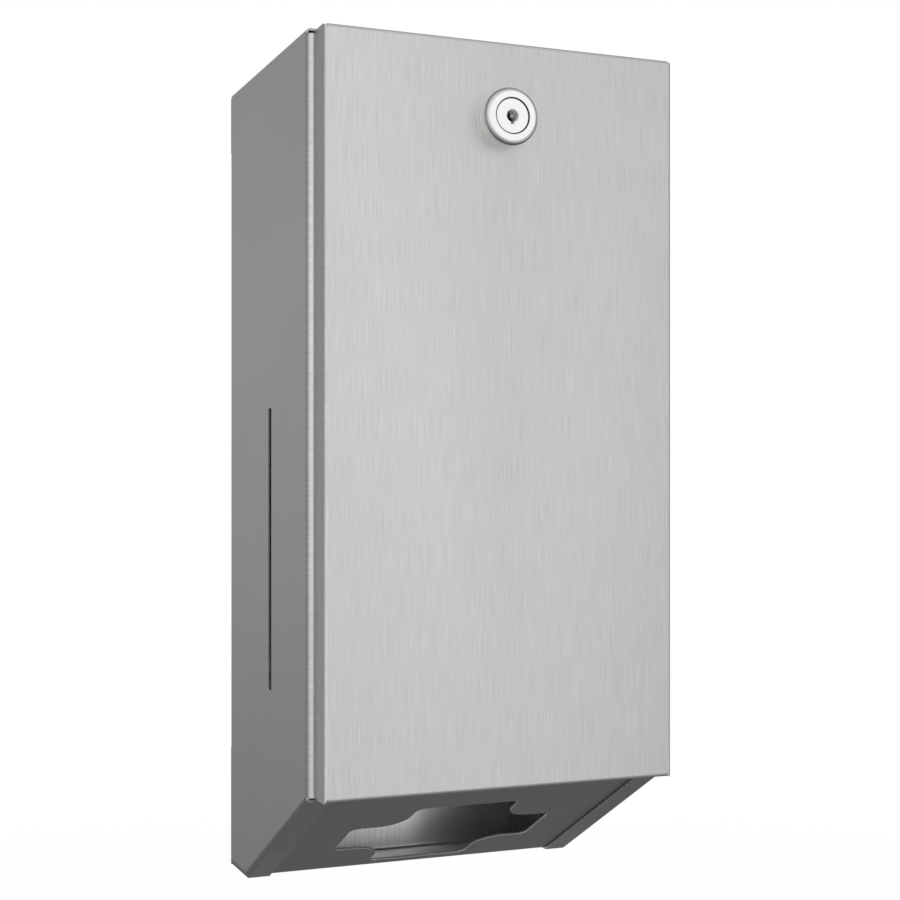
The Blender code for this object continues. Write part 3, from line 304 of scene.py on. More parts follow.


# Metal: its reflectance is the tone (an attribute times a gain, or a number) times grain, clouds and the
# light and shade curves, tinted a little. The tone attribute and the light and shade curves carry painted
# shade and painted highlight. Grain is stronger where the tone is higher. The edge tint for a tone t and an
# edge curve (a, b, c) is 1 - a (1 - t) / (b + c t), which keeps the reflectance even until the view is nearly
# flat along a face.
def metal(name, look):
    material = bpy.data.materials.new(name)
    material.use_nodes = True
    tree = material.node_tree
    shader = tree.nodes["Principled BSDF"]
    shader.inputs["Metallic"].default_value = 1.0
    share = 1.0
    if "gain" in look:
        tone, share = readAttribute(tree, "tone"), readAttribute(tree, "share")
        tone = calculate(tree, "MULTIPLY", tone, look["gain"])
    else:
        tone = addNode(tree, "Value").outputs[0]
        tone.default_value = look["tone"]
    level = tone
    for curve in look.get("lightAndShadeCurves", []):
        change = calculate(tree, "SUBTRACT", lightAndShadeCurve(tree, *curve), 1.0)
        level = calculate(tree, "MULTIPLY", level, calculate(tree, "MULTIPLY_ADD", change, share, 1.0))
    grain = grainNoise(tree, look["grain"])
    cloud = grainNoise(tree, grainLook["clouds"], grainLook["cloudDetail"])
    speckScales = tuple(grainLook["speckShare"] * value for value in look["grain"])
    speck = grainNoise(tree, speckScales, grainLook["speckDetail"], grainLook["speckRoughness"])
    strength = calculate(tree, "MULTIPLY", tone, look["streaks"] / grainLook["fullTone"])
    speckStrength = calculate(tree, "MULTIPLY", strength, look.get("specks", grainLook["specks"]))
    for noise, amount in ((grain, strength), (speck, speckStrength), (cloud, look["clouds"])):
        centred = calculate(tree, "SUBTRACT", noise, 0.5)
        level = calculate(tree, "MULTIPLY", level, calculate(tree, "MULTIPLY_ADD", centred, amount, 1.0))
    touch = readAttribute(tree, "touch")
    if "hairlines" in look:
        hair = calculate(tree, "SUBTRACT", grainNoise(tree, grainLook["acrossFold"]), 0.5)
        amount = calculate(tree, "MULTIPLY", touch, look["hairlines"])
        level = calculate(tree, "MULTIPLY", level, calculate(tree, "MULTIPLY_ADD", hair, amount, 1.0))
    fall, least, slope = grainLook["edgeCurve"]
    edge = calculate(tree, "DIVIDE", calculate(tree, "MULTIPLY_ADD", level, -fall, fall),
                     calculate(tree, "MULTIPLY_ADD", level, slope, least))
    tree.links.new(calculate(tree, "SUBTRACT", 1.0, edge), shader.inputs["Specular Tint"])
    dark, light = look["tints"]
    tintLow, tintHigh = grainLook["tintRange"]
    tint = addNode(tree, "MapRange", {"Value": level, "From Min": tintLow, "From Max": tintHigh}).outputs[0]
    tinted = addNode(tree, "Mix", {0: tint, 6: (*dark, 1), 7: (*light, 1)}, data_type="RGBA").outputs[2]
    color = addNode(tree, "VectorMath", {0: tinted, 3: level}, operation="SCALE").outputs[0]
    tree.links.new(color, shader.inputs["Base Color"])
    low, high = look["roughness"]
    noiseLow, noiseHigh = grainLook["noiseRange"]
    cloudPart = calculate(tree, "MULTIPLY", cloud, 1 - grainLook["roughGrain"])
    mixed = calculate(tree, "MULTIPLY_ADD", grain, grainLook["roughGrain"], cloudPart)
    rough = addNode(tree, "MapRange", {"Value": mixed, "From Min": noiseLow, "From Max": noiseHigh,
                                       "To Min": low, "To Max": high}).outputs[0]
    if "dullness" in look:
        rough = calculate(tree, "MULTIPLY_ADD", touch, look["dullness"], rough)
    tree.links.new(rough, shader.inputs["Roughness"])
    bump = addNode(tree, "Bump", {"Height": grain, "Strength": look["bump"],
                                  "Distance": grainLook["relief"]})
    tree.links.new(bump.outputs["Normal"], shader.inputs["Normal"])
    return material


alongZ, alongX, around = (6000, 6000, 70), (110, 110, 2600), (900, 900, 900)
steelTints = ((0.995, 1.0, 0.965), (1.0, 1.0, 0.982))
greyTints = ((1.0, 1.0, 0.99), (1.0, 1.0, 0.982))
coolTints = ((0.98, 1.0, 1.0), (1.0, 1.0, 0.99))
brassTints = ((1.0, 0.76, 0.40), (1.0, 0.78, 0.42))
# The light and shade curves are painted shade and light: the door darker towards the top and the right, the
# sides darker towards the bottom, the inside darker above the floor, and the back's inside lighter near the
# floor and darker towards the right
finishes = {
    "doorSteel": {"gain": 0.982, "grain": alongZ, "streaks": 0.56, "specks": 0.2, "clouds": 0.014,
                  "hairlines": 0.5, "tints": steelTints, "roughness": (0.30, 0.42), "bump": 0.25,
                  "lightAndShadeCurves": [("Z", 0, 300, [(0, .91), (60, .935), (123, .931), (190, .913), (300, .872)]),
                             ("X", -65, 65, [(-65, 1.008), (0, 1.0), (65, .873)])]},
    "sideSteel": {"gain": 1.14, "grain": alongX, "streaks": 0.26, "clouds": 0.02, "hairlines": 0.6,
                  "tints": steelTints, "roughness": (0.34, 0.44), "bump": 0.2,
                  "lightAndShadeCurves": [("Z", 0, 300, [(0, .70), (25, .74), (53, .795), (87, .87), (122, .94),
                                            (157, .978), (215, 1.035), (258, .985), (300, .95)])]},
    "chuteSteel": {"gain": 1.14, "grain": alongZ, "streaks": 0.3, "clouds": 0.02, "tints": greyTints,
                   "roughness": (0.34, 0.44), "bump": 0.2},
    "innerSteel": {"tone": 0.9, "grain": alongZ, "streaks": 0.3, "clouds": 0.05, "tints": steelTints,
                   "roughness": (0.30, 0.42), "bump": 0.3,
                   "lightAndShadeCurves": [("Z", 0, 300, [(0, 1.0), (35, 1.0), (60, .7), (300, .66)])]},
    "backInner": {"tone": 1.0, "grain": (3400, 3400, 50), "streaks": 0.5, "clouds": 0.03, "tints": steelTints,
                  "roughness": (0.30, 0.42), "bump": 0.3,
                  "lightAndShadeCurves": [("X", -65, 65, [(-65, .8), (-15, .74), (0, .82), (12, 1.0), (32, 1.0), (42, .86),
                                             (56, .5), (65, .45)]),
                             ("Z", 0, 300, [(0, 1.12), (9, 1.1), (22, .9), (50, .64), (300, .6)])]},
    "backOuter": {"tone": 0.48, "grain": alongZ, "streaks": 0.3, "clouds": 0.03, "tints": steelTints,
                  "roughness": (0.32, 0.44), "bump": 0.3},
    "cutSteel": {"tone": 0.55, "grain": around, "streaks": 0.3, "clouds": 0.1, "tints": greyTints,
                 "roughness": (0.35, 0.5), "bump": 0.3},
    "flangeEdge": {"tone": 0.42, "grain": around, "streaks": 0.3, "clouds": 0.1, "tints": greyTints,
                   "roughness": (0.38, 0.52), "bump": 0.3},
    "hingeSteel": {"tone": 0.42, "grain": alongX, "streaks": 0.12, "clouds": 0.05, "tints": steelTints,
                   "roughness": (0.34, 0.46), "bump": 0.3},
    "zincPlate": {"tone": 0.55, "grain": around, "streaks": 0.10, "clouds": 0.12, "tints": coolTints,
                  "roughness": (0.26, 0.42), "bump": 0.3},
    "polishedChrome": {"gain": 1.0, "grain": around, "streaks": 0.01, "clouds": 0.01, "tints": coolTints,
                       "roughness": (0.07, 0.11), "dullness": 0.5, "bump": 0.03},
    "waferBrass": {"tone": 0.62, "grain": around, "streaks": 0.12, "clouds": 0.12, "tints": brassTints,
                   "roughness": (0.28, 0.42), "bump": 0.3},
}
finish = {name: metal(name, look) for name, look in finishes.items()}
print("materials made:", len(finish))


# Housing: side panels

housing = {
    "width": 130.9, "height": 293.4, "face": -41.75, "wall": 58.55, "baseDepth": 23.4, "chuteRise": 42.8,
    "sheet": 0.8, "lap": 1.0, "seam": 0.3, "frontBend": 2.8, "topBend": 1.5, "chuteBend": 1.4, "earBend": 1.5,
    "innerBend": 1.6, "flange": 9.0, "return": 10.0, "lead": 1.2, "relief": 1.0, "ear": 16.0, "earStep": 1.8,
    "topEar": 22.3, "lowEar": 45.0, "earFoot": 0.3, "earRelief": 0.1, "slitWidth": 4.0, "slitLength": 98.4,
    "slitDepth": 44.7, "slitDrop": 121.6, "slitCorner": 0.3, "edgeRadius": 0.1, "bendSteps": 18,
    # the web's strip of painted shade along the slope and the bottom: depths inside the outline, and their
    # tones
    "shadeDepths": (3.4, 2.8, 2.3, 1.8, 1.4), "shadeStripTones": (.262, .25, .215, .165, .145),
}
halfWidth = housing["width"] / 2
innerWall = halfWidth - housing["sheet"]
chuteRun = housing["wall"] - housing["face"] - housing["baseDepth"]
chuteAngle = math.atan2(housing["chuteRise"], chuteRun)
chuteAlong = np.array((0, math.cos(chuteAngle), -math.sin(chuteAngle)))
chuteOut = np.array((0, -math.sin(chuteAngle), -math.cos(chuteAngle)))
chuteEdge = np.array((0, housing["face"], housing["chuteRise"]))


# A point on the chute: distance along the slope, across it, and depth inside its outer plane
def chutePoint(distance, across=0.0, depth=0.0):
    return chuteEdge + chuteAlong * distance - chuteOut * depth + np.array((across, 0, 0))


def chuteAtY(y, depth):
    start = chutePoint(0, depth=depth)
    return start + chuteAlong * ((y - start[1]) / chuteAlong[1])


def chuteAtZ(z, depth):
    start = chutePoint(0, depth=depth)
    return start + chuteAlong * ((z - start[2]) / chuteAlong[2])


def sidePanel(name, side, node, withSlit):
    size = housing
    sheet = newSheet()
    x, top, wall = side * halfWidth, size["height"], size["wall"]
    inward, outward = np.array((-side, 0, 0)), np.array((side, 0, 0))
    shift = np.array((x, 0, 0))
    high, earY, rear = top - size["topBend"], wall - size["earBend"], wall - size["earStep"]
    middle = size["face"] + size["slitDepth"]
    lead = size["face"] + size["lead"]
    corner = chuteAtZ(size["chuteBend"], size["chuteBend"]) + shift
    chuteFront = chuteAtY(lead, size["chuteBend"]) + shift
    returnTop = top - size["sheet"] - size["relief"]
    frontY = size["face"] + size["frontBend"]

    def at(y, z):
        return np.array((x, y, z))

    # The web ends at a strip of painted shade that gets darker towards the slope and the bottom, one row to a
    # depth
    depths = np.array(size["shadeDepths"])
    corners = np.array([chuteAtZ(depth, depth) + shift for depth in depths])
    turnIn = at(frontY, chuteFront[2])
    starts = turnIn + (chuteFront - turnIn) * ((depths - depths[0]) / (depths[-1] - depths[0]))[:, None]
    slopeShare = (middle - frontY) / (corners[0][1] - frontY)
    stripRows = np.stack((starts, starts + (corners - starts) * slopeShare, corners), axis=1)
    footRows = np.stack((corners, [at(rear, depth) for depth in depths]), axis=1)
    looks = np.column_stack((size["shadeStripTones"], np.ones(len(depths))))
    addGrid(sheet, stripRows, looks)
    addGrid(sheet, footRows, looks)
    stripMiddle = stripRows[0][1]
    relief = earY - size["earRelief"]
    rearPart = [at(middle, high), at(rear, high), at(earY, high), at(earY, top - size["topEar"]),
                at(rear, top - size["topEar"]), at(rear, size["lowEar"]), at(earY, size["lowEar"]),
                at(earY, size["earFoot"]), at(relief, size["earFoot"]), at(relief, size["chuteBend"]),
                *footRows[::-1, 1], corners[0], stripMiddle]
    frontPart = [at(middle, high), at(lead, high), at(lead, returnTop), at(frontY, returnTop),
                 turnIn, stripMiddle]
    if withSlit:
        slitTop = top - size["slitDrop"]
        slitLow = slitTop - size["slitLength"]
        half, ease = size["slitWidth"] / 2, size["slitCorner"]
        for part, sign in ((rearPart, 1), (frontPart, -1)):
            part += [at(middle, slitLow), at(middle + sign * (half - ease), slitLow),
                     at(middle + sign * half, slitLow + ease), at(middle + sign * half, slitTop - ease),
                     at(middle + sign * (half - ease), slitTop), at(middle, slitTop)]
    addFlat(sheet, rearPart, faceToneAndShade["side"])
    addFlat(sheet, frontPart, faceToneAndShade["side"])
    share = (middle - lead) / (rear - lead)
    foldedEdge(sheet, at(lead, high), at(rear, high), (0, 0, 1), inward, size["topBend"],
               size["flange"] - size["topBend"], "sideToUp", shares=(0, share, 1))
    foldedEdge(sheet, at(frontY, chuteFront[2]), at(frontY, returnTop), (0, -1, 0), inward, size["frontBend"],
               size["return"] - size["frontBend"], "sideToFront", steps=size["bendSteps"])
    for low, up in ((top - size["topEar"], high), (size["earFoot"], size["lowEar"])):
        foldedEdge(sheet, at(earY, up), at(earY, low), (0, 1, 0), inward, size["earBend"],
                   size["ear"] - size["earBend"], "sideToRear")
    run = size["flange"] - size["chuteBend"]
    turn = math.tan(chuteAngle / 2)
    foldedEdge(sheet, chuteFront, corner, chuteOut, inward, size["chuteBend"], run, "sideToDown",
               (math.tan(chuteAngle), turn), (0, slopeShare, 1), size["bendSteps"])
    foldedEdge(sheet, corner, at(rear, size["chuteBend"]), (0, 0, -1), inward, size["chuteBend"], run,
               "sideToDown", (-turn, 0), steps=size["bendSteps"])
    finishSheet(name, sheet, outward, ("sideSteel", "innerSteel", "flangeEdge"), node)


sidePanel("sidePanelLeft", -1, "side_panel_left", True)
sidePanel("sidePanelRight", 1, "side_panel_right", False)
print("side panels folded")


# Housing: chute with its dispensing slot, back and top

chute = {
    "upstand": 14.0, "footGap": 8.8, "frontMargin": 22.0, "rearMargin": 5.0, "sideMargin": 27.05,
    "wingReach": 19.0, "wingStep": 18.0, "middleRadius": 4.0, "wingRadius": 3.5, "innerRadius": 10.0,
    "rivets": 4, "rivetEdge": 3.7, "rivetHeight": 7.0, "rivetHole": 1.5, "bendSteps": 10,
    "pressed": 0.15,                    # how much nearer the sheet lies to the side panels' flanges
}
hinge = {"axisY": -43.83, "axisZ": 45.15}
upstandHalf = halfWidth - housing["return"] - housing["seam"]
rivetPlaces = np.linspace(-1, 1, chute["rivets"]) * (upstandHalf - chute["rivetEdge"])
chuteLength = math.hypot(chuteRun, housing["chuteRise"])
slotMiddle = (chuteLength - chute["frontMargin"] - chute["rearMargin"]) / 2
slotCentre = chute["frontMargin"] + slotMiddle


# Rounds one corner: an arc of the radius that touches both edges that meet there
def roundedCorner(previous, corner, following, radius, steps=14):
    previous, corner, following = (np.asarray(point, float) for point in (previous, corner, following))
    toPrevious, toFollowing = unit(previous - corner), unit(following - corner)
    half = math.acos(np.clip(toPrevious @ toFollowing, -1, 1)) / 2
    centre = corner + unit(toPrevious + toFollowing) * radius / math.sin(half)
    first = corner + toPrevious * radius / math.tan(half) - centre
    bendSide = toPrevious[1] * toFollowing[0] - toPrevious[0] * toFollowing[1]
    sweep = math.copysign(math.pi - 2 * half, bendSide)
    a = np.linspace(0, sweep, steps + 1)
    return centre + np.column_stack((first[0] * np.cos(a) - first[1] * np.sin(a),
                                     first[0] * np.sin(a) + first[1] * np.cos(a)))


# Half of the slot's outline from its rear middle to its front middle, on the side of sign
def slotHalf(sign):
    wing = halfWidth - chute["sideMargin"]
    middle = wing - chute["wingReach"]
    low = slotMiddle - chute["wingStep"]
    corners = [((0, slotMiddle), 0), ((middle, slotMiddle), chute["middleRadius"]),
               ((middle, low), chute["innerRadius"]), ((wing, low), chute["wingRadius"]),
               ((wing, -low), chute["wingRadius"]), ((middle, -low), chute["innerRadius"]),
               ((middle, -slotMiddle), chute["middleRadius"]), ((0, -slotMiddle), 0)]
    places = [np.array(place) for place, _ in corners]
    line = [places[0][None]]
    for index in range(1, len(corners) - 1):
        line.append(roundedCorner(places[index - 1], places[index], places[index + 1], corners[index][1]))
    line = np.concatenate(line + [places[-1][None]])
    return line * (sign, 1)


# A row of round holes along a straight line: the path from one side to the other past the lower or upper arcs
def pastHoles(first, last, centres, radius, upper, steps=24):
    turns = (180, 0) if upper else (180, 360)
    arcs = [arc(centre, radius, *turns, steps) for centre in centres]
    return np.concatenate([np.asarray(first, float)[None], *arcs, np.asarray(last, float)[None]])


def chutePanel():
    sheet = newSheet()
    bend, depth = housing["innerBend"], housing["lap"] - chute["pressed"]
    half = halfWidth - housing["chuteBend"]
    centreFront = chuteAtY(housing["face"] + bend, depth + bend)
    centreFoot = chuteAtZ(depth + bend, depth + bend)
    endFront = math.degrees(math.atan2(chuteOut[2], chuteOut[1])) + 360
    upstandTop = chutePoint(0, depth=depth)[2] + chute["upstand"]
    across = np.array((-1.0, 0, 1.0))

    # Rows of a fold between two angles, each with its two ends and its middle
    def rows(centre, first, last, reach, tones):
        steps = chute["bendSteps"]
        line = arc(centre[1:], bend, first, last, steps)
        a = np.radians(np.linspace(first, last, steps + 1))
        points = np.stack((np.broadcast_to(across * reach, (steps + 1, 3)),
                           np.repeat(line[:, :1], 3, 1), np.repeat(line[:, 1:], 3, 1)), axis=-1)
        addGrid(sheet, points, foldLooks(tones, a - a[0]))
        return points

    front = rows(centreFront, 180, endFront, upstandHalf, "returnToDown")
    foot = rows(centreFoot, endFront, 270, half, "down")
    footEnd = housing["wall"] - housing["lap"] - housing["sheet"] - chute["footGap"]
    footRow = np.stack((across * half, np.full(3, footEnd), np.full(3, depth)), axis=-1)
    addGrid(sheet, np.stack((foot[-1], footRow)), faceToneAndShade["down"])
    bendStart = front[0][0][2]
    rivetZ = hinge["axisZ"] + chute["rivetHeight"]
    centres = [(place, rivetZ) for place in rivetPlaces]
    for upper, edge in ((False, bendStart), (True, upstandTop)):
        path = pastHoles((-upstandHalf, rivetZ), (upstandHalf, rivetZ), centres, chute["rivetHole"], upper)
        corners = [(upstandHalf, edge), (0, edge), (-upstandHalf, edge)]
        flat = np.concatenate((path, corners))
        points = np.column_stack((flat[:, 0], np.full(len(flat), housing["face"]), flat[:, 1]))
        addFlat(sheet, points, faceToneAndShade["return"])
    shoulder = chuteAtY(housing["face"] + housing["sheet"] + housing["seam"] + bend, depth)
    for sign, end in ((-1, 0), (1, 2)):
        hole = slotHalf(sign)
        cut = (chutePoint(slotCentre, depth=depth) + hole[:, :1] * np.array((1.0, 0, 0))
               + hole[:, 1:] * chuteAlong)
        step, wide = (shoulder + np.array((sign * reach, 0, 0)) for reach in (upstandHalf, half))
        outline = np.concatenate((cut, [front[-1][1], front[-1][end], step, wide, foot[0][end], foot[0][1]]))
        addFlat(sheet, outline, faceToneAndShade["down"])
    finishSheet("chutePanel", sheet, chuteOut, ("chuteSteel", "innerSteel", "cutSteel"), "chute_panel")


back = {
    "sideGap": 0.6, "foot": 14.0,
    "holeRadius": 3.0, "sideMargin": 25.45, "lowHole": 60.0, "topDrop": 43.4,
}


def backPanel():
    sheet = newSheet()
    rear, half = housing["wall"] - housing["lap"], innerWall - back["sideGap"]
    footHalf = halfWidth - housing["flange"] - housing["seam"]
    bend, high = housing["innerBend"], housing["height"] - housing["lap"]
    rowsZ = (back["lowHole"], housing["height"] - back["topDrop"])
    reach = halfWidth - back["sideMargin"]

    def place(flat):
        return np.column_stack((flat[:, 0], np.full(len(flat), rear), flat[:, 1]))

    def path(z, upper):
        return pastHoles((-half, z), (half, z), [(-reach, z), (reach, z)], back["holeRadius"], upper)

    foot = [(half, bend), (footHalf, bend), (-footHalf, bend), (-half, bend)]
    bottom = np.concatenate((path(rowsZ[0], False), foot))
    between = np.concatenate((path(rowsZ[0], True), path(rowsZ[1], False)[::-1]))
    above = np.concatenate((path(rowsZ[1], True), [(half, high), (-half, high)]))
    for part in (bottom, between, above):
        addFlat(sheet, place(part), faceToneAndShade["rear"])
    foldedEdge(sheet, (-footHalf, rear, bend), (footHalf, rear, bend), (0, 0, -1), (0, -1, 0), bend,
               back["foot"] - bend, "upToRear")
    finishSheet("backPanel", sheet, (0, 1, 0), ("backOuter", "backInner", "cutSteel"), "back_panel")


topSheet = {"lip": 12.0, "flange": 10.0, "lapGap": 0.2}


def topPanel():
    sheet = newSheet()
    bend, z = housing["innerBend"], housing["height"] - housing["lap"]
    sideLine = innerWall - topSheet["lapGap"] - bend
    rearLine = housing["wall"] - housing["lap"] - housing["sheet"] - topSheet["lapGap"] - bend
    lipLine = housing["face"] + bend
    sideFront = housing["face"] + housing["sheet"] + housing["seam"] + bend
    right = [(upstandHalf, lipLine), (upstandHalf, sideFront), (sideLine, sideFront), (sideLine, rearLine)]
    corners = [(-upstandHalf, lipLine), *right, *((-x, y) for x, y in right[:0:-1])]
    web = np.array([(x, y, z) for x, y in corners])
    addFlat(sheet, web, faceToneAndShade["up"])
    down = (0, 0, -1)
    edges = ((0, 1, (0, -1, 0), topSheet["lip"]), (3, 4, (1, 0, 0), topSheet["flange"]),
             (5, 4, (0, 1, 0), topSheet["flange"]), (6, 5, (-1, 0, 0), topSheet["flange"]))
    for first, last, outward, height in edges:
        foldedEdge(sheet, web[first], web[last], outward, down, bend, height - bend, "upToRear")
    finishSheet("topPanel", sheet, (0, 0, 1), ("chuteSteel", "innerSteel", "cutSteel"), "top_panel")


chutePanel()
backPanel()
topPanel()
print("chute, back and top folded")


# Door

door = {
    "front": -52.35, "depth": 10.6, "inset": 2.3, "drop": 1.0, "lift": 0.9, "bend": 1.3, "foot": 6.2,
    "sideDrop": 0.2, "turnGap": 0.2, "cornerShare": 0.8,
    "lockHole": 7.3, "lockDrop": 25.7, "rivetHole": 2.4, "holeSteps": 36, "cornerSteps": 12,
}
doorTop = housing["height"] - door["drop"]
doorBottom = housing["chuteRise"] + door["lift"]
lockZ = doorTop - door["lockDrop"]
rivetY = door["front"] + (door["bend"] + door["foot"]) / 2


def doorPanel():
    sheet = newSheet()
    half = halfWidth - door["inset"] - door["bend"]
    low, high = doorBottom + door["bend"], doorTop - door["bend"]
    front, run = door["front"], door["depth"] - housing["seam"] - door["bend"]

    def at(x, z):
        return np.array((x, front, z))

    for sign in (-1, 1):
        hole = arc((0, lockZ), door["lockHole"], 90, 90 - sign * 180, door["holeSteps"])
        outline = np.concatenate((hole, [(0, low), (sign * half, low), (sign * half, high), (0, high)]))
        addFlat(sheet, np.column_stack((outline[:, 0], np.full(len(outline), front), outline[:, 1])),
                faceToneAndShade["front"])
    halves = (0, 0.5, 1)
    foldedEdge(sheet, at(-half, high), at(half, high), (0, 0, 1), (0, 1, 0), door["bend"], run, "frontToUp",
               shares=halves)
    foldedEdge(sheet, at(-half, low), at(half, low), (0, 0, -1), (0, 1, 0), door["bend"], 0, "frontToDown",
               shares=halves)
    bendEnd = front + door["bend"]
    centres = [(place, rivetY) for place in rivetPlaces]
    for upper, edge in ((False, bendEnd), (True, front + door["foot"])):
        path = pastHoles((-half, rivetY), (half, rivetY), centres, door["rivetHole"], upper)
        corners = [(half, edge), (0, edge), (-half, edge)] if not upper else [(half, edge), (-half, edge)]
        flat = np.concatenate((path, corners))
        addFlat(sheet, np.column_stack((flat[:, 0], flat[:, 1], np.full(len(flat), doorBottom))),
                (foldShadeAndHighlight["frontToDown"][1][-1], 0))
    sideFoot = doorBottom - door["sideDrop"]
    turnRadius = housing["face"] - hinge["axisY"] - door["turnGap"]
    firstTurn = math.degrees(math.acos((housing["face"] - housing["seam"] - hinge["axisY"]) / turnRadius))
    lastTurn = math.degrees(math.asin((hinge["axisZ"] - sideFoot) / turnRadius))
    sideCorner = arc((hinge["axisY"], hinge["axisZ"]), turnRadius, -firstTurn, -lastTurn,
                     door["cornerSteps"])
    for sign, tones in ((-1, "frontToLeft"), (1, "frontToRight")):
        strip = foldedEdge(sheet, at(sign * half, low), at(sign * half, high), (sign, 0, 0), (0, 1, 0),
                           door["bend"], 0, tones, ((sideFoot - low) / door["bend"], door["cornerShare"]))
        frontLow, frontHigh = strip[-1]
        flat = np.concatenate(([frontLow[1:], frontHigh[1:], (frontLow[1] + run, frontHigh[2])], sideCorner))
        points = np.column_stack((np.full(len(flat), frontLow[0]), flat))
        rearShare = ((flat[:, 0] - frontLow[1]) / run)[:, None]
        # The door's side flange is painted lighter towards its rear, as painted shade near its front
        nearLook, rearLook = np.array(faceToneAndShade["doorSide"]), np.array(faceToneAndShade["doorSideRear"])
        addFlat(sheet, points, nearLook + (rearLook - nearLook) * rearShare)
    finishSheet("doorPanel", sheet, (0, -1, 0), ("doorSteel", "innerSteel", "cutSteel"), "door_panel", "door")


doorPanel()
print("door folded")


# Lock: radii, places along Y and depths behind the face. The tones of the head, plug and pin are painted
# reflection, highlight and shade: the bore and lip dark as painted shade in the seam, a dark shoulder rim
# with a painted glint round the upper left and a wider band of painted shade low down, a wall painted as a
# reflection of the door and darker low down, a dark plug edge, a keyhole painted light inside and a light
# spot on the pin. The shoulder's tones are given as turns in degrees and tones, the plug edge's as turns in
# radians and tones, and the wall's as plain tones and low tones, from the front to the rear. The glint and
# low shade tones hold round their
# own direction: a spread is that direction in degrees from the top, and the power of (1 + cos) / 2 with which
# they fade away from it.
lock = {
    "face": -58.55, "faceRadius": 7.9, "radius": 9.5, "baseRadius": 9.4, "shoulder": 1.8, "base": 6.17,
    "barrel": 7.0, "barrelEnd": -40.85, "barrelChamfer": 0.3, "bore": 5.08, "faceBore": 5.98, "step": 4.6,
    "lip": 0.15, "faceInset": 0.3, "faceRows": 6, "shoulderSteps": 16, "lipSteps": 4, "headColumns": 128,
    "edgeRadius": 0.05,
    "plugFace": 5.9, "plugRadius": 5.0, "recess": 0.3, "plugDepth": 4.3, "chamfer": 0.35,
    "keyhole": 2.04, "notchHalf": 0.52, "notchReach": 2.75, "notchNudge": 0.01, "keyholeFloor": -46.25,
    "tail": 3.0, "tailEnd": -38.95, "threadRadius": 1.98, "threadFloor": -45.25,
    "holeChamfer": 0.1, "floorShare": 0.6, "plugColumns": 120, "plugSteps": 5, "keyholeSteps": 8,
    "pinRadius": 0.7, "pinTip": -57.9, "pinEnd": -46.55, "pinTipShare": 0.55, "pinTipDepth": 0.35,
    "pinCentre": 0.14, "pinSteps": 7, "pinColumns": 48,
    "faceTone": .82, "boreShadeTones": [.25, .25, .2, .2, .1, .12, .2, .45], "barrelTones": [.9, .5, .5],
    "shoulderShadeTones": ([0, 4, 10, 18, 30, 46, 62, 78, 90], [.82, .76, .50, .38, .35, .28, .18, .15, .3]),
    "leftGlintTones": ([0, 26, 35, 44, 58, 72, 84, 90], [.82, .83, .68, .46, .42, .46, .64, .8]),
    "lowShadeTones": ([0, 12, 22, 32, 45, 62, 78, 88, 90], [.82, .76, .55, .32, .2, .16, .2, .5, .8]),
    "glintSpread": (248, 3), "lowShadeSpread": (197, 5),
    "wallLightAndShade": ([.86, .90, .94, .97, 1.0, 1.0], [.70, .76, .80, .84, .88, .92]),
    "keyholeLightTone": 1.0, "keyholeDull": 1.6, "keyholeEdgeTones": (.7, .75),
    "plugEdgeShadeTones": ([0, .35, .8, 1.6], [.7, .4, .16, .12]), "plugSideShadeTones": (.15, .2, .5),
    "threadTone": .3, "pinHighlightAndShade": (.85, .27),
}


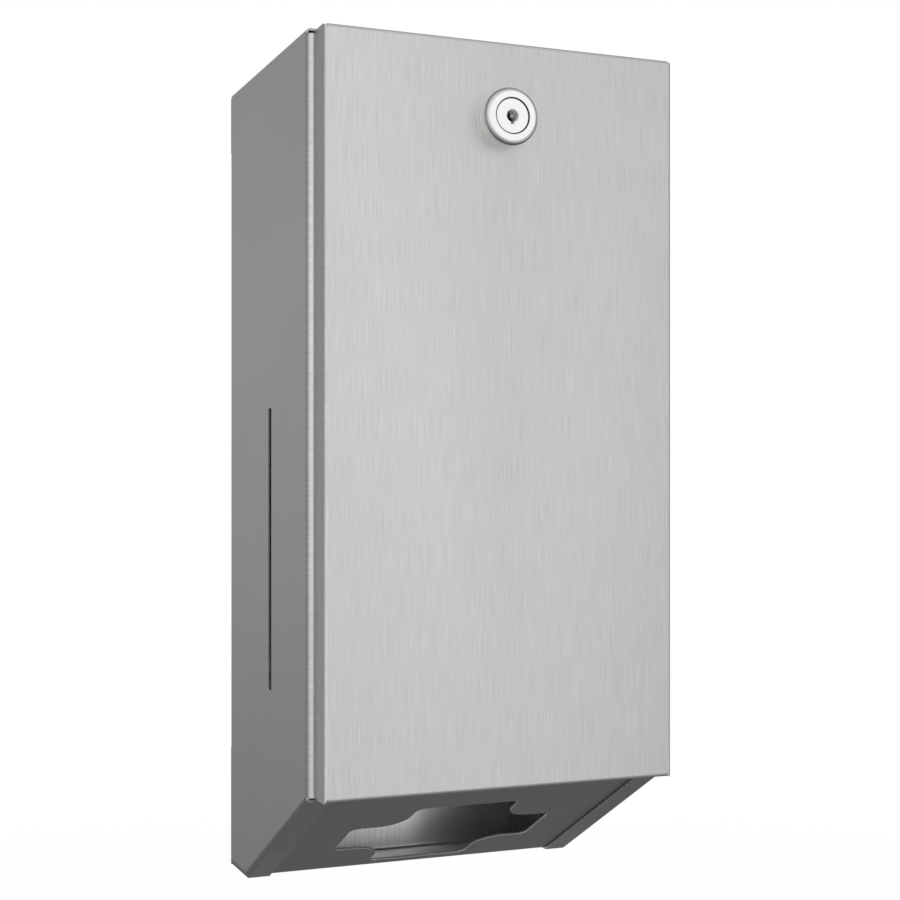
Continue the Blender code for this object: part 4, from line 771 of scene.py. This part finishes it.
# Head and barrel: stepped bore, lip, face, rounded shoulder, wall, seat and barrel, carried round
def lockHousing():
    size = lock
    a = np.linspace(0, np.pi / 2, size["shoulderSteps"] + 1)
    rise = size["radius"] - size["faceRadius"]
    lip = np.linspace(0, np.pi / 2, size["lipSteps"] + 1)
    face, bore, width = size["face"], size["faceBore"], size["lip"]
    profile = [(size["bore"], size["barrelEnd"]), (size["bore"], face + size["step"]),
               (bore, face + size["step"]), (bore, face + width)]
    profile += [(bore + width * (1 - math.cos(t)), face + width * (1 - math.sin(t))) for t in lip[1:]]
    faceRadii = np.linspace(bore + size["faceInset"], size["faceRadius"], size["faceRows"])
    profile += [(radius, face) for radius in faceRadii]
    # The bore and its lip are painted dark, as painted shade in the seam round the plug
    tones = size["boreShadeTones"] + [size["faceTone"]] * size["faceRows"]
    profile += [(size["faceRadius"] + rise * math.sin(t), face + size["shoulder"] * (1 - math.cos(t)))
                for t in a[1:]]
    angles = angleSteps(size["headColumns"])
    # Weights of the painted glint round the upper left and of the painted shade low down, by the angle round
    # the axis
    glintWeight, low = ((0.5 + 0.5 * np.cos(angles - math.radians(direction))) ** power
                 for direction, power in (size["glintSpread"], size["lowShadeSpread"]))
    for turn in np.degrees(a[1:]):
        plain, glintTone, lowTone = (np.interp(turn, *size[title])
                                    for title in ("shoulderShadeTones", "leftGlintTones", "lowShadeTones"))
        sideways = plain + (glintTone - plain) * glintWeight
        tones.append(sideways + (lowTone - sideways) * low)
    # The wall is painted as a reflection of the door, with painted shade low down
    wall = np.linspace(0, 1, len(size["wallLightAndShade"][0]) + 1)[1:]
    profile += [(size["radius"] + (size["baseRadius"] - size["radius"]) * t,
                 face + size["shoulder"] + (size["base"] - size["shoulder"]) * t) for t in wall]
    tones += [plain + (lowTone - plain) * low for plain, lowTone in zip(*size["wallLightAndShade"])]
    chamfer = size["barrelChamfer"]
    profile += [(size["barrel"], face + size["base"]), (size["barrel"], size["barrelEnd"] - chamfer),
                (size["barrel"] - chamfer, size["barrelEnd"])]
    tones += size["barrelTones"]
    profile = np.array(profile)
    points = turnedGrid(profile[:, :1], profile[:, 1], lockZ, angles).reshape(-1, 3)
    shade = roundLooks(tones, angles)
    piece = writePiece("lockHousing", points, turnedFaces(len(profile), len(angles), tube=True), shade,
                       [finish["polishedChrome"]], "lock_housing", "door")
    edgeWear(piece, size["edgeRadius"])


# Distance of the keyhole's edge from the axis: a circle, and towards -Z the notch's end and its two sides
def keyholeEdge(angles):
    away = np.abs(angles - np.pi)
    tiny = 1e-6
    end = lock["notchReach"] / np.maximum(np.cos(away), tiny)
    sides = lock["notchHalf"] / np.maximum(np.sin(away), tiny)
    return np.where(away < np.pi / 2, np.maximum(lock["keyhole"], np.minimum(end, sides)), lock["keyhole"])


# Plug: keyhole floor, keyhole wall, face, wide rim, core, square tail, thread bore, carried round. Columns
# are added on either side of the notch's corners and at the tail's corners.
def lockPlug():
    size = lock
    half, nudge = size["notchHalf"], size["notchNudge"]
    turns = np.array((math.atan(half / size["notchReach"]), math.asin(half / size["keyhole"])))
    turns = np.concatenate((turns - nudge, turns + nudge))
    notch = np.concatenate((np.pi - turns, np.pi + turns))
    tail = np.pi / 2 * (np.arange(4) + 0.5)
    angles = np.unique(np.concatenate((angleSteps(size["plugColumns"]), notch, tail)))
    hole = keyholeEdge(angles)
    square = size["tail"] / np.maximum(np.abs(np.cos(angles)), np.abs(np.sin(angles)))
    face = size["face"] + size["recess"]
    rows, places, tones, touches = [], [], [], []

    def addRow(radius, place, tone, touch=0.0):
        rows.append(np.broadcast_to(radius, angles.shape))
        places.append(place)
        tones.append(tone)
        touches.append(touch)

    floor, top, rim = size["keyholeFloor"], face + size["holeChamfer"], size["plugFace"] - size["chamfer"]
    # The keyhole's inside is painted light, as painted light in the hole
    holeLightTone, dull = size["keyholeLightTone"], size["keyholeDull"]
    for share in (0, size["floorShare"], 1):
        addRow(hole * share, floor, holeLightTone, dull)
    for share in np.linspace(0, 1, size["keyholeSteps"] + 1)[1:-1]:
        addRow(hole, floor + (top - floor) * share, holeLightTone, dull)
    lowTone, highTone = size["keyholeEdgeTones"]
    start = hole + size["holeChamfer"]
    addRow(hole, top, lowTone, dull)
    addRow(start, face, highTone)
    for share in np.linspace(0, 1, size["plugSteps"] + 1)[1:]:
        addRow(start + (rim - start) * share, face, size["faceTone"])
    # The plug's rounded edge and its sides are painted dark, as painted shade in the seam round the plug
    for t in np.linspace(0, np.pi / 2, size["plugSteps"] + 1)[1:]:
        addRow(rim + size["chamfer"] * math.sin(t), face + size["chamfer"] * (1 - math.cos(t)),
               float(np.interp(t, *size["plugEdgeShadeTones"])))
    wideTone, coreTone, tailTone = size["plugSideShadeTones"]
    wideEnd = size["face"] + size["plugDepth"]
    for radius, place, tone in (
            (size["plugFace"], wideEnd, wideTone), (size["plugRadius"], wideEnd, coreTone),
            (size["plugRadius"], size["barrelEnd"], tailTone), (square, size["barrelEnd"], tailTone),
            (square, size["tailEnd"], tailTone), (size["threadRadius"], size["tailEnd"], tailTone),
            (size["threadRadius"], size["threadFloor"], size["threadTone"]),
            (0, size["threadFloor"], size["threadTone"])):
        addRow(radius, place, tone)
    points = turnedGrid(np.array(rows), places, lockZ, angles).reshape(-1, 3)
    shade = roundLooks(tones, angles, touches)
    piece = writePiece("lockPlug", points, turnedFaces(len(rows), len(angles)), shade,
                       [finish["polishedChrome"]], "lock_plug", "lock_core")
    evenShading(piece)
    piece.data.set_sharp_from_angle(angle=sharpAngle)


# Centre pin: a flat tip with a painted highlight in its middle and painted shade on the rest, rounded by
# r = R (s + (1 - s) sin t), and its shank
def lockPin():
    size = lock
    radius, share, tip = size["pinRadius"], size["pinTipShare"], size["pinTip"]
    t = np.linspace(0, np.pi / 2, size["pinSteps"] + 1)
    rounded = np.column_stack((radius * (share + (1 - share) * np.sin(t)),
                               tip + size["pinTipDepth"] * (1 - np.cos(t))))
    front, rear = [(0, tip), (size["pinCentre"], tip)], [(radius, size["pinEnd"]), (0, size["pinEnd"])]
    profile = np.concatenate((front, rounded, rear))
    angles = angleSteps(size["pinColumns"])
    points = turnedGrid(profile[:, :1], profile[:, 1], lockZ, angles).reshape(-1, 3)
    highlightTone, pinShadeTone = size["pinHighlightAndShade"]
    shade = roundLooks([highlightTone] + [pinShadeTone] * (len(profile) - 1), angles)
    writePiece("lockCentrePin", points, turnedFaces(len(profile), len(angles)), shade,
               [finish["polishedChrome"]], "lock_centre_pin", "lock_core")


lockHousing()
lockPlug()
lockPin()
print("lock turned")


# CAD nodes that stay get their finish

stayingFinish = {"hinge_leaf": "hingeSteel", "hinge_rod": "zincPlate", "hinge_rivet": "zincPlate",
                 "lock_wafer": "waferBrass", "lock": "zincPlate"}
for name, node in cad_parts.items():
    if node.hide_render:
        continue
    chosen = next(value for start, value in stayingFinish.items() if name.startswith(start))
    node.data.materials.clear()
    node.data.materials.append(finish[chosen])
print("CAD nodes finished")


# Floor, light and camera

studio = {
    "floorDrop": 700.0, "floorReach": 9000.0, "floorDiffuse": 0.35, "floorLevel": 1.0, "worldLevel": 0.8,
    "glowRange": (500, 4000), "lampAim": (0, 0, 147),
    "lamps": {
        "keyLamp": {"place": (900, -1500, 1100), "size": 2600, "watts": 2.2},
        "fillLamp": {"place": (-1500, -900, 500), "size": 2400, "watts": 1.0},
        "topLamp": {"place": (0, -200, 1700), "size": 2600, "watts": 1.6},
    },
    "camera": {"place": (-216.25, -536.19, 147.14), "turn": -22.09, "lens": 63.67, "sensor": 36,
               "shiftY": 0.0319, "clip": (20, 60000)},
}


# Ways in which the pale background is seen: by the camera, in gloss and through glass
def seenDirectly(tree):
    path = addNode(tree, "LightPath")
    either = calculate(tree, "MAXIMUM", path.outputs["Is Camera Ray"], path.outputs["Is Glossy Ray"])
    return calculate(tree, "MAXIMUM", either, path.outputs["Is Transmission Ray"])


def makeFloor():
    reach, z = studio["floorReach"] * mm, -studio["floorDrop"] * mm
    data = bpy.data.meshes.new("studioFloor")
    data.from_pydata([(-reach, -reach, z), (reach, -reach, z), (reach, reach, z), (-reach, reach, z)], [],
                     [(0, 1, 2, 3)])
    floor = addObject("studioFloor", data)
    material = bpy.data.materials.new("paleFloor")
    material.use_nodes = True
    tree = material.node_tree
    share = studio["floorDiffuse"]
    shader = tree.nodes["Principled BSDF"]
    shader.inputs["Base Color"].default_value = (share, share, share, 1)
    shader.inputs["Roughness"].default_value = 1.0
    shader.inputs["Specular IOR Level"].default_value = 0.0
    shader.inputs["Emission Color"].default_value = (1, 1, 1, 1)
    place = addNode(tree, "TexCoord").outputs["Object"]
    away = addNode(tree, "VectorMath", {0: place}, operation="LENGTH").outputs["Value"]
    near, far = (1 - share * level for level in (studio["floorLevel"], studio["worldLevel"]))
    start, end = (place * mm for place in studio["glowRange"])
    glow = addNode(tree, "MapRange", {"Value": away, "From Min": start, "From Max": end, "To Min": near,
                                      "To Max": far}, interpolation_type="SMOOTHSTEP").outputs[0]
    tree.links.new(calculate(tree, "MULTIPLY", seenDirectly(tree), glow), shader.inputs["Emission Strength"])
    data.materials.append(material)


def makeWorld():
    world = bpy.data.worlds.new("paleStudio")
    bpy.context.scene.world = world
    world.use_nodes = True
    tree = world.node_tree
    background = tree.nodes["Background"]
    background.inputs["Color"].default_value = (1, 1, 1, 1)
    level = studio["worldLevel"]
    rest = calculate(tree, "MULTIPLY", seenDirectly(tree), 1 - level)
    tree.links.new(calculate(tree, "ADD", rest, level), background.inputs["Strength"])


def makeLamps():
    for name, lamp in studio["lamps"].items():
        data = bpy.data.lights.new(name, "AREA")
        data.shape = "SQUARE"
        data.size = lamp["size"] * mm
        data.energy = lamp["watts"]
        item = addObject(name, data)
        place = np.array(lamp["place"], float) * mm
        aim = unit(np.array(studio["lampAim"]) * mm - place)
        item.location = place
        item.rotation_euler = (math.acos(-aim[2]), 0, math.atan2(-aim[0], aim[1]))
        item.visible_camera = False


def makeCamera():
    look = studio["camera"]
    data = bpy.data.cameras.new("studioCamera")
    data.lens, data.sensor_width, data.shift_y = look["lens"], look["sensor"], look["shiftY"]
    data.clip_start, data.clip_end = (place * mm for place in look["clip"])
    camera = addObject("studioCamera", data)
    camera.location = np.array(look["place"]) * mm
    camera.rotation_euler = (math.pi / 2, 0, math.radians(look["turn"]))
    bpy.context.scene.camera = camera


makeFloor()
makeWorld()
makeLamps()
makeCamera()
bpy.context.scene.view_settings.view_transform = "Standard"
print("floor, world, lamps and camera set")
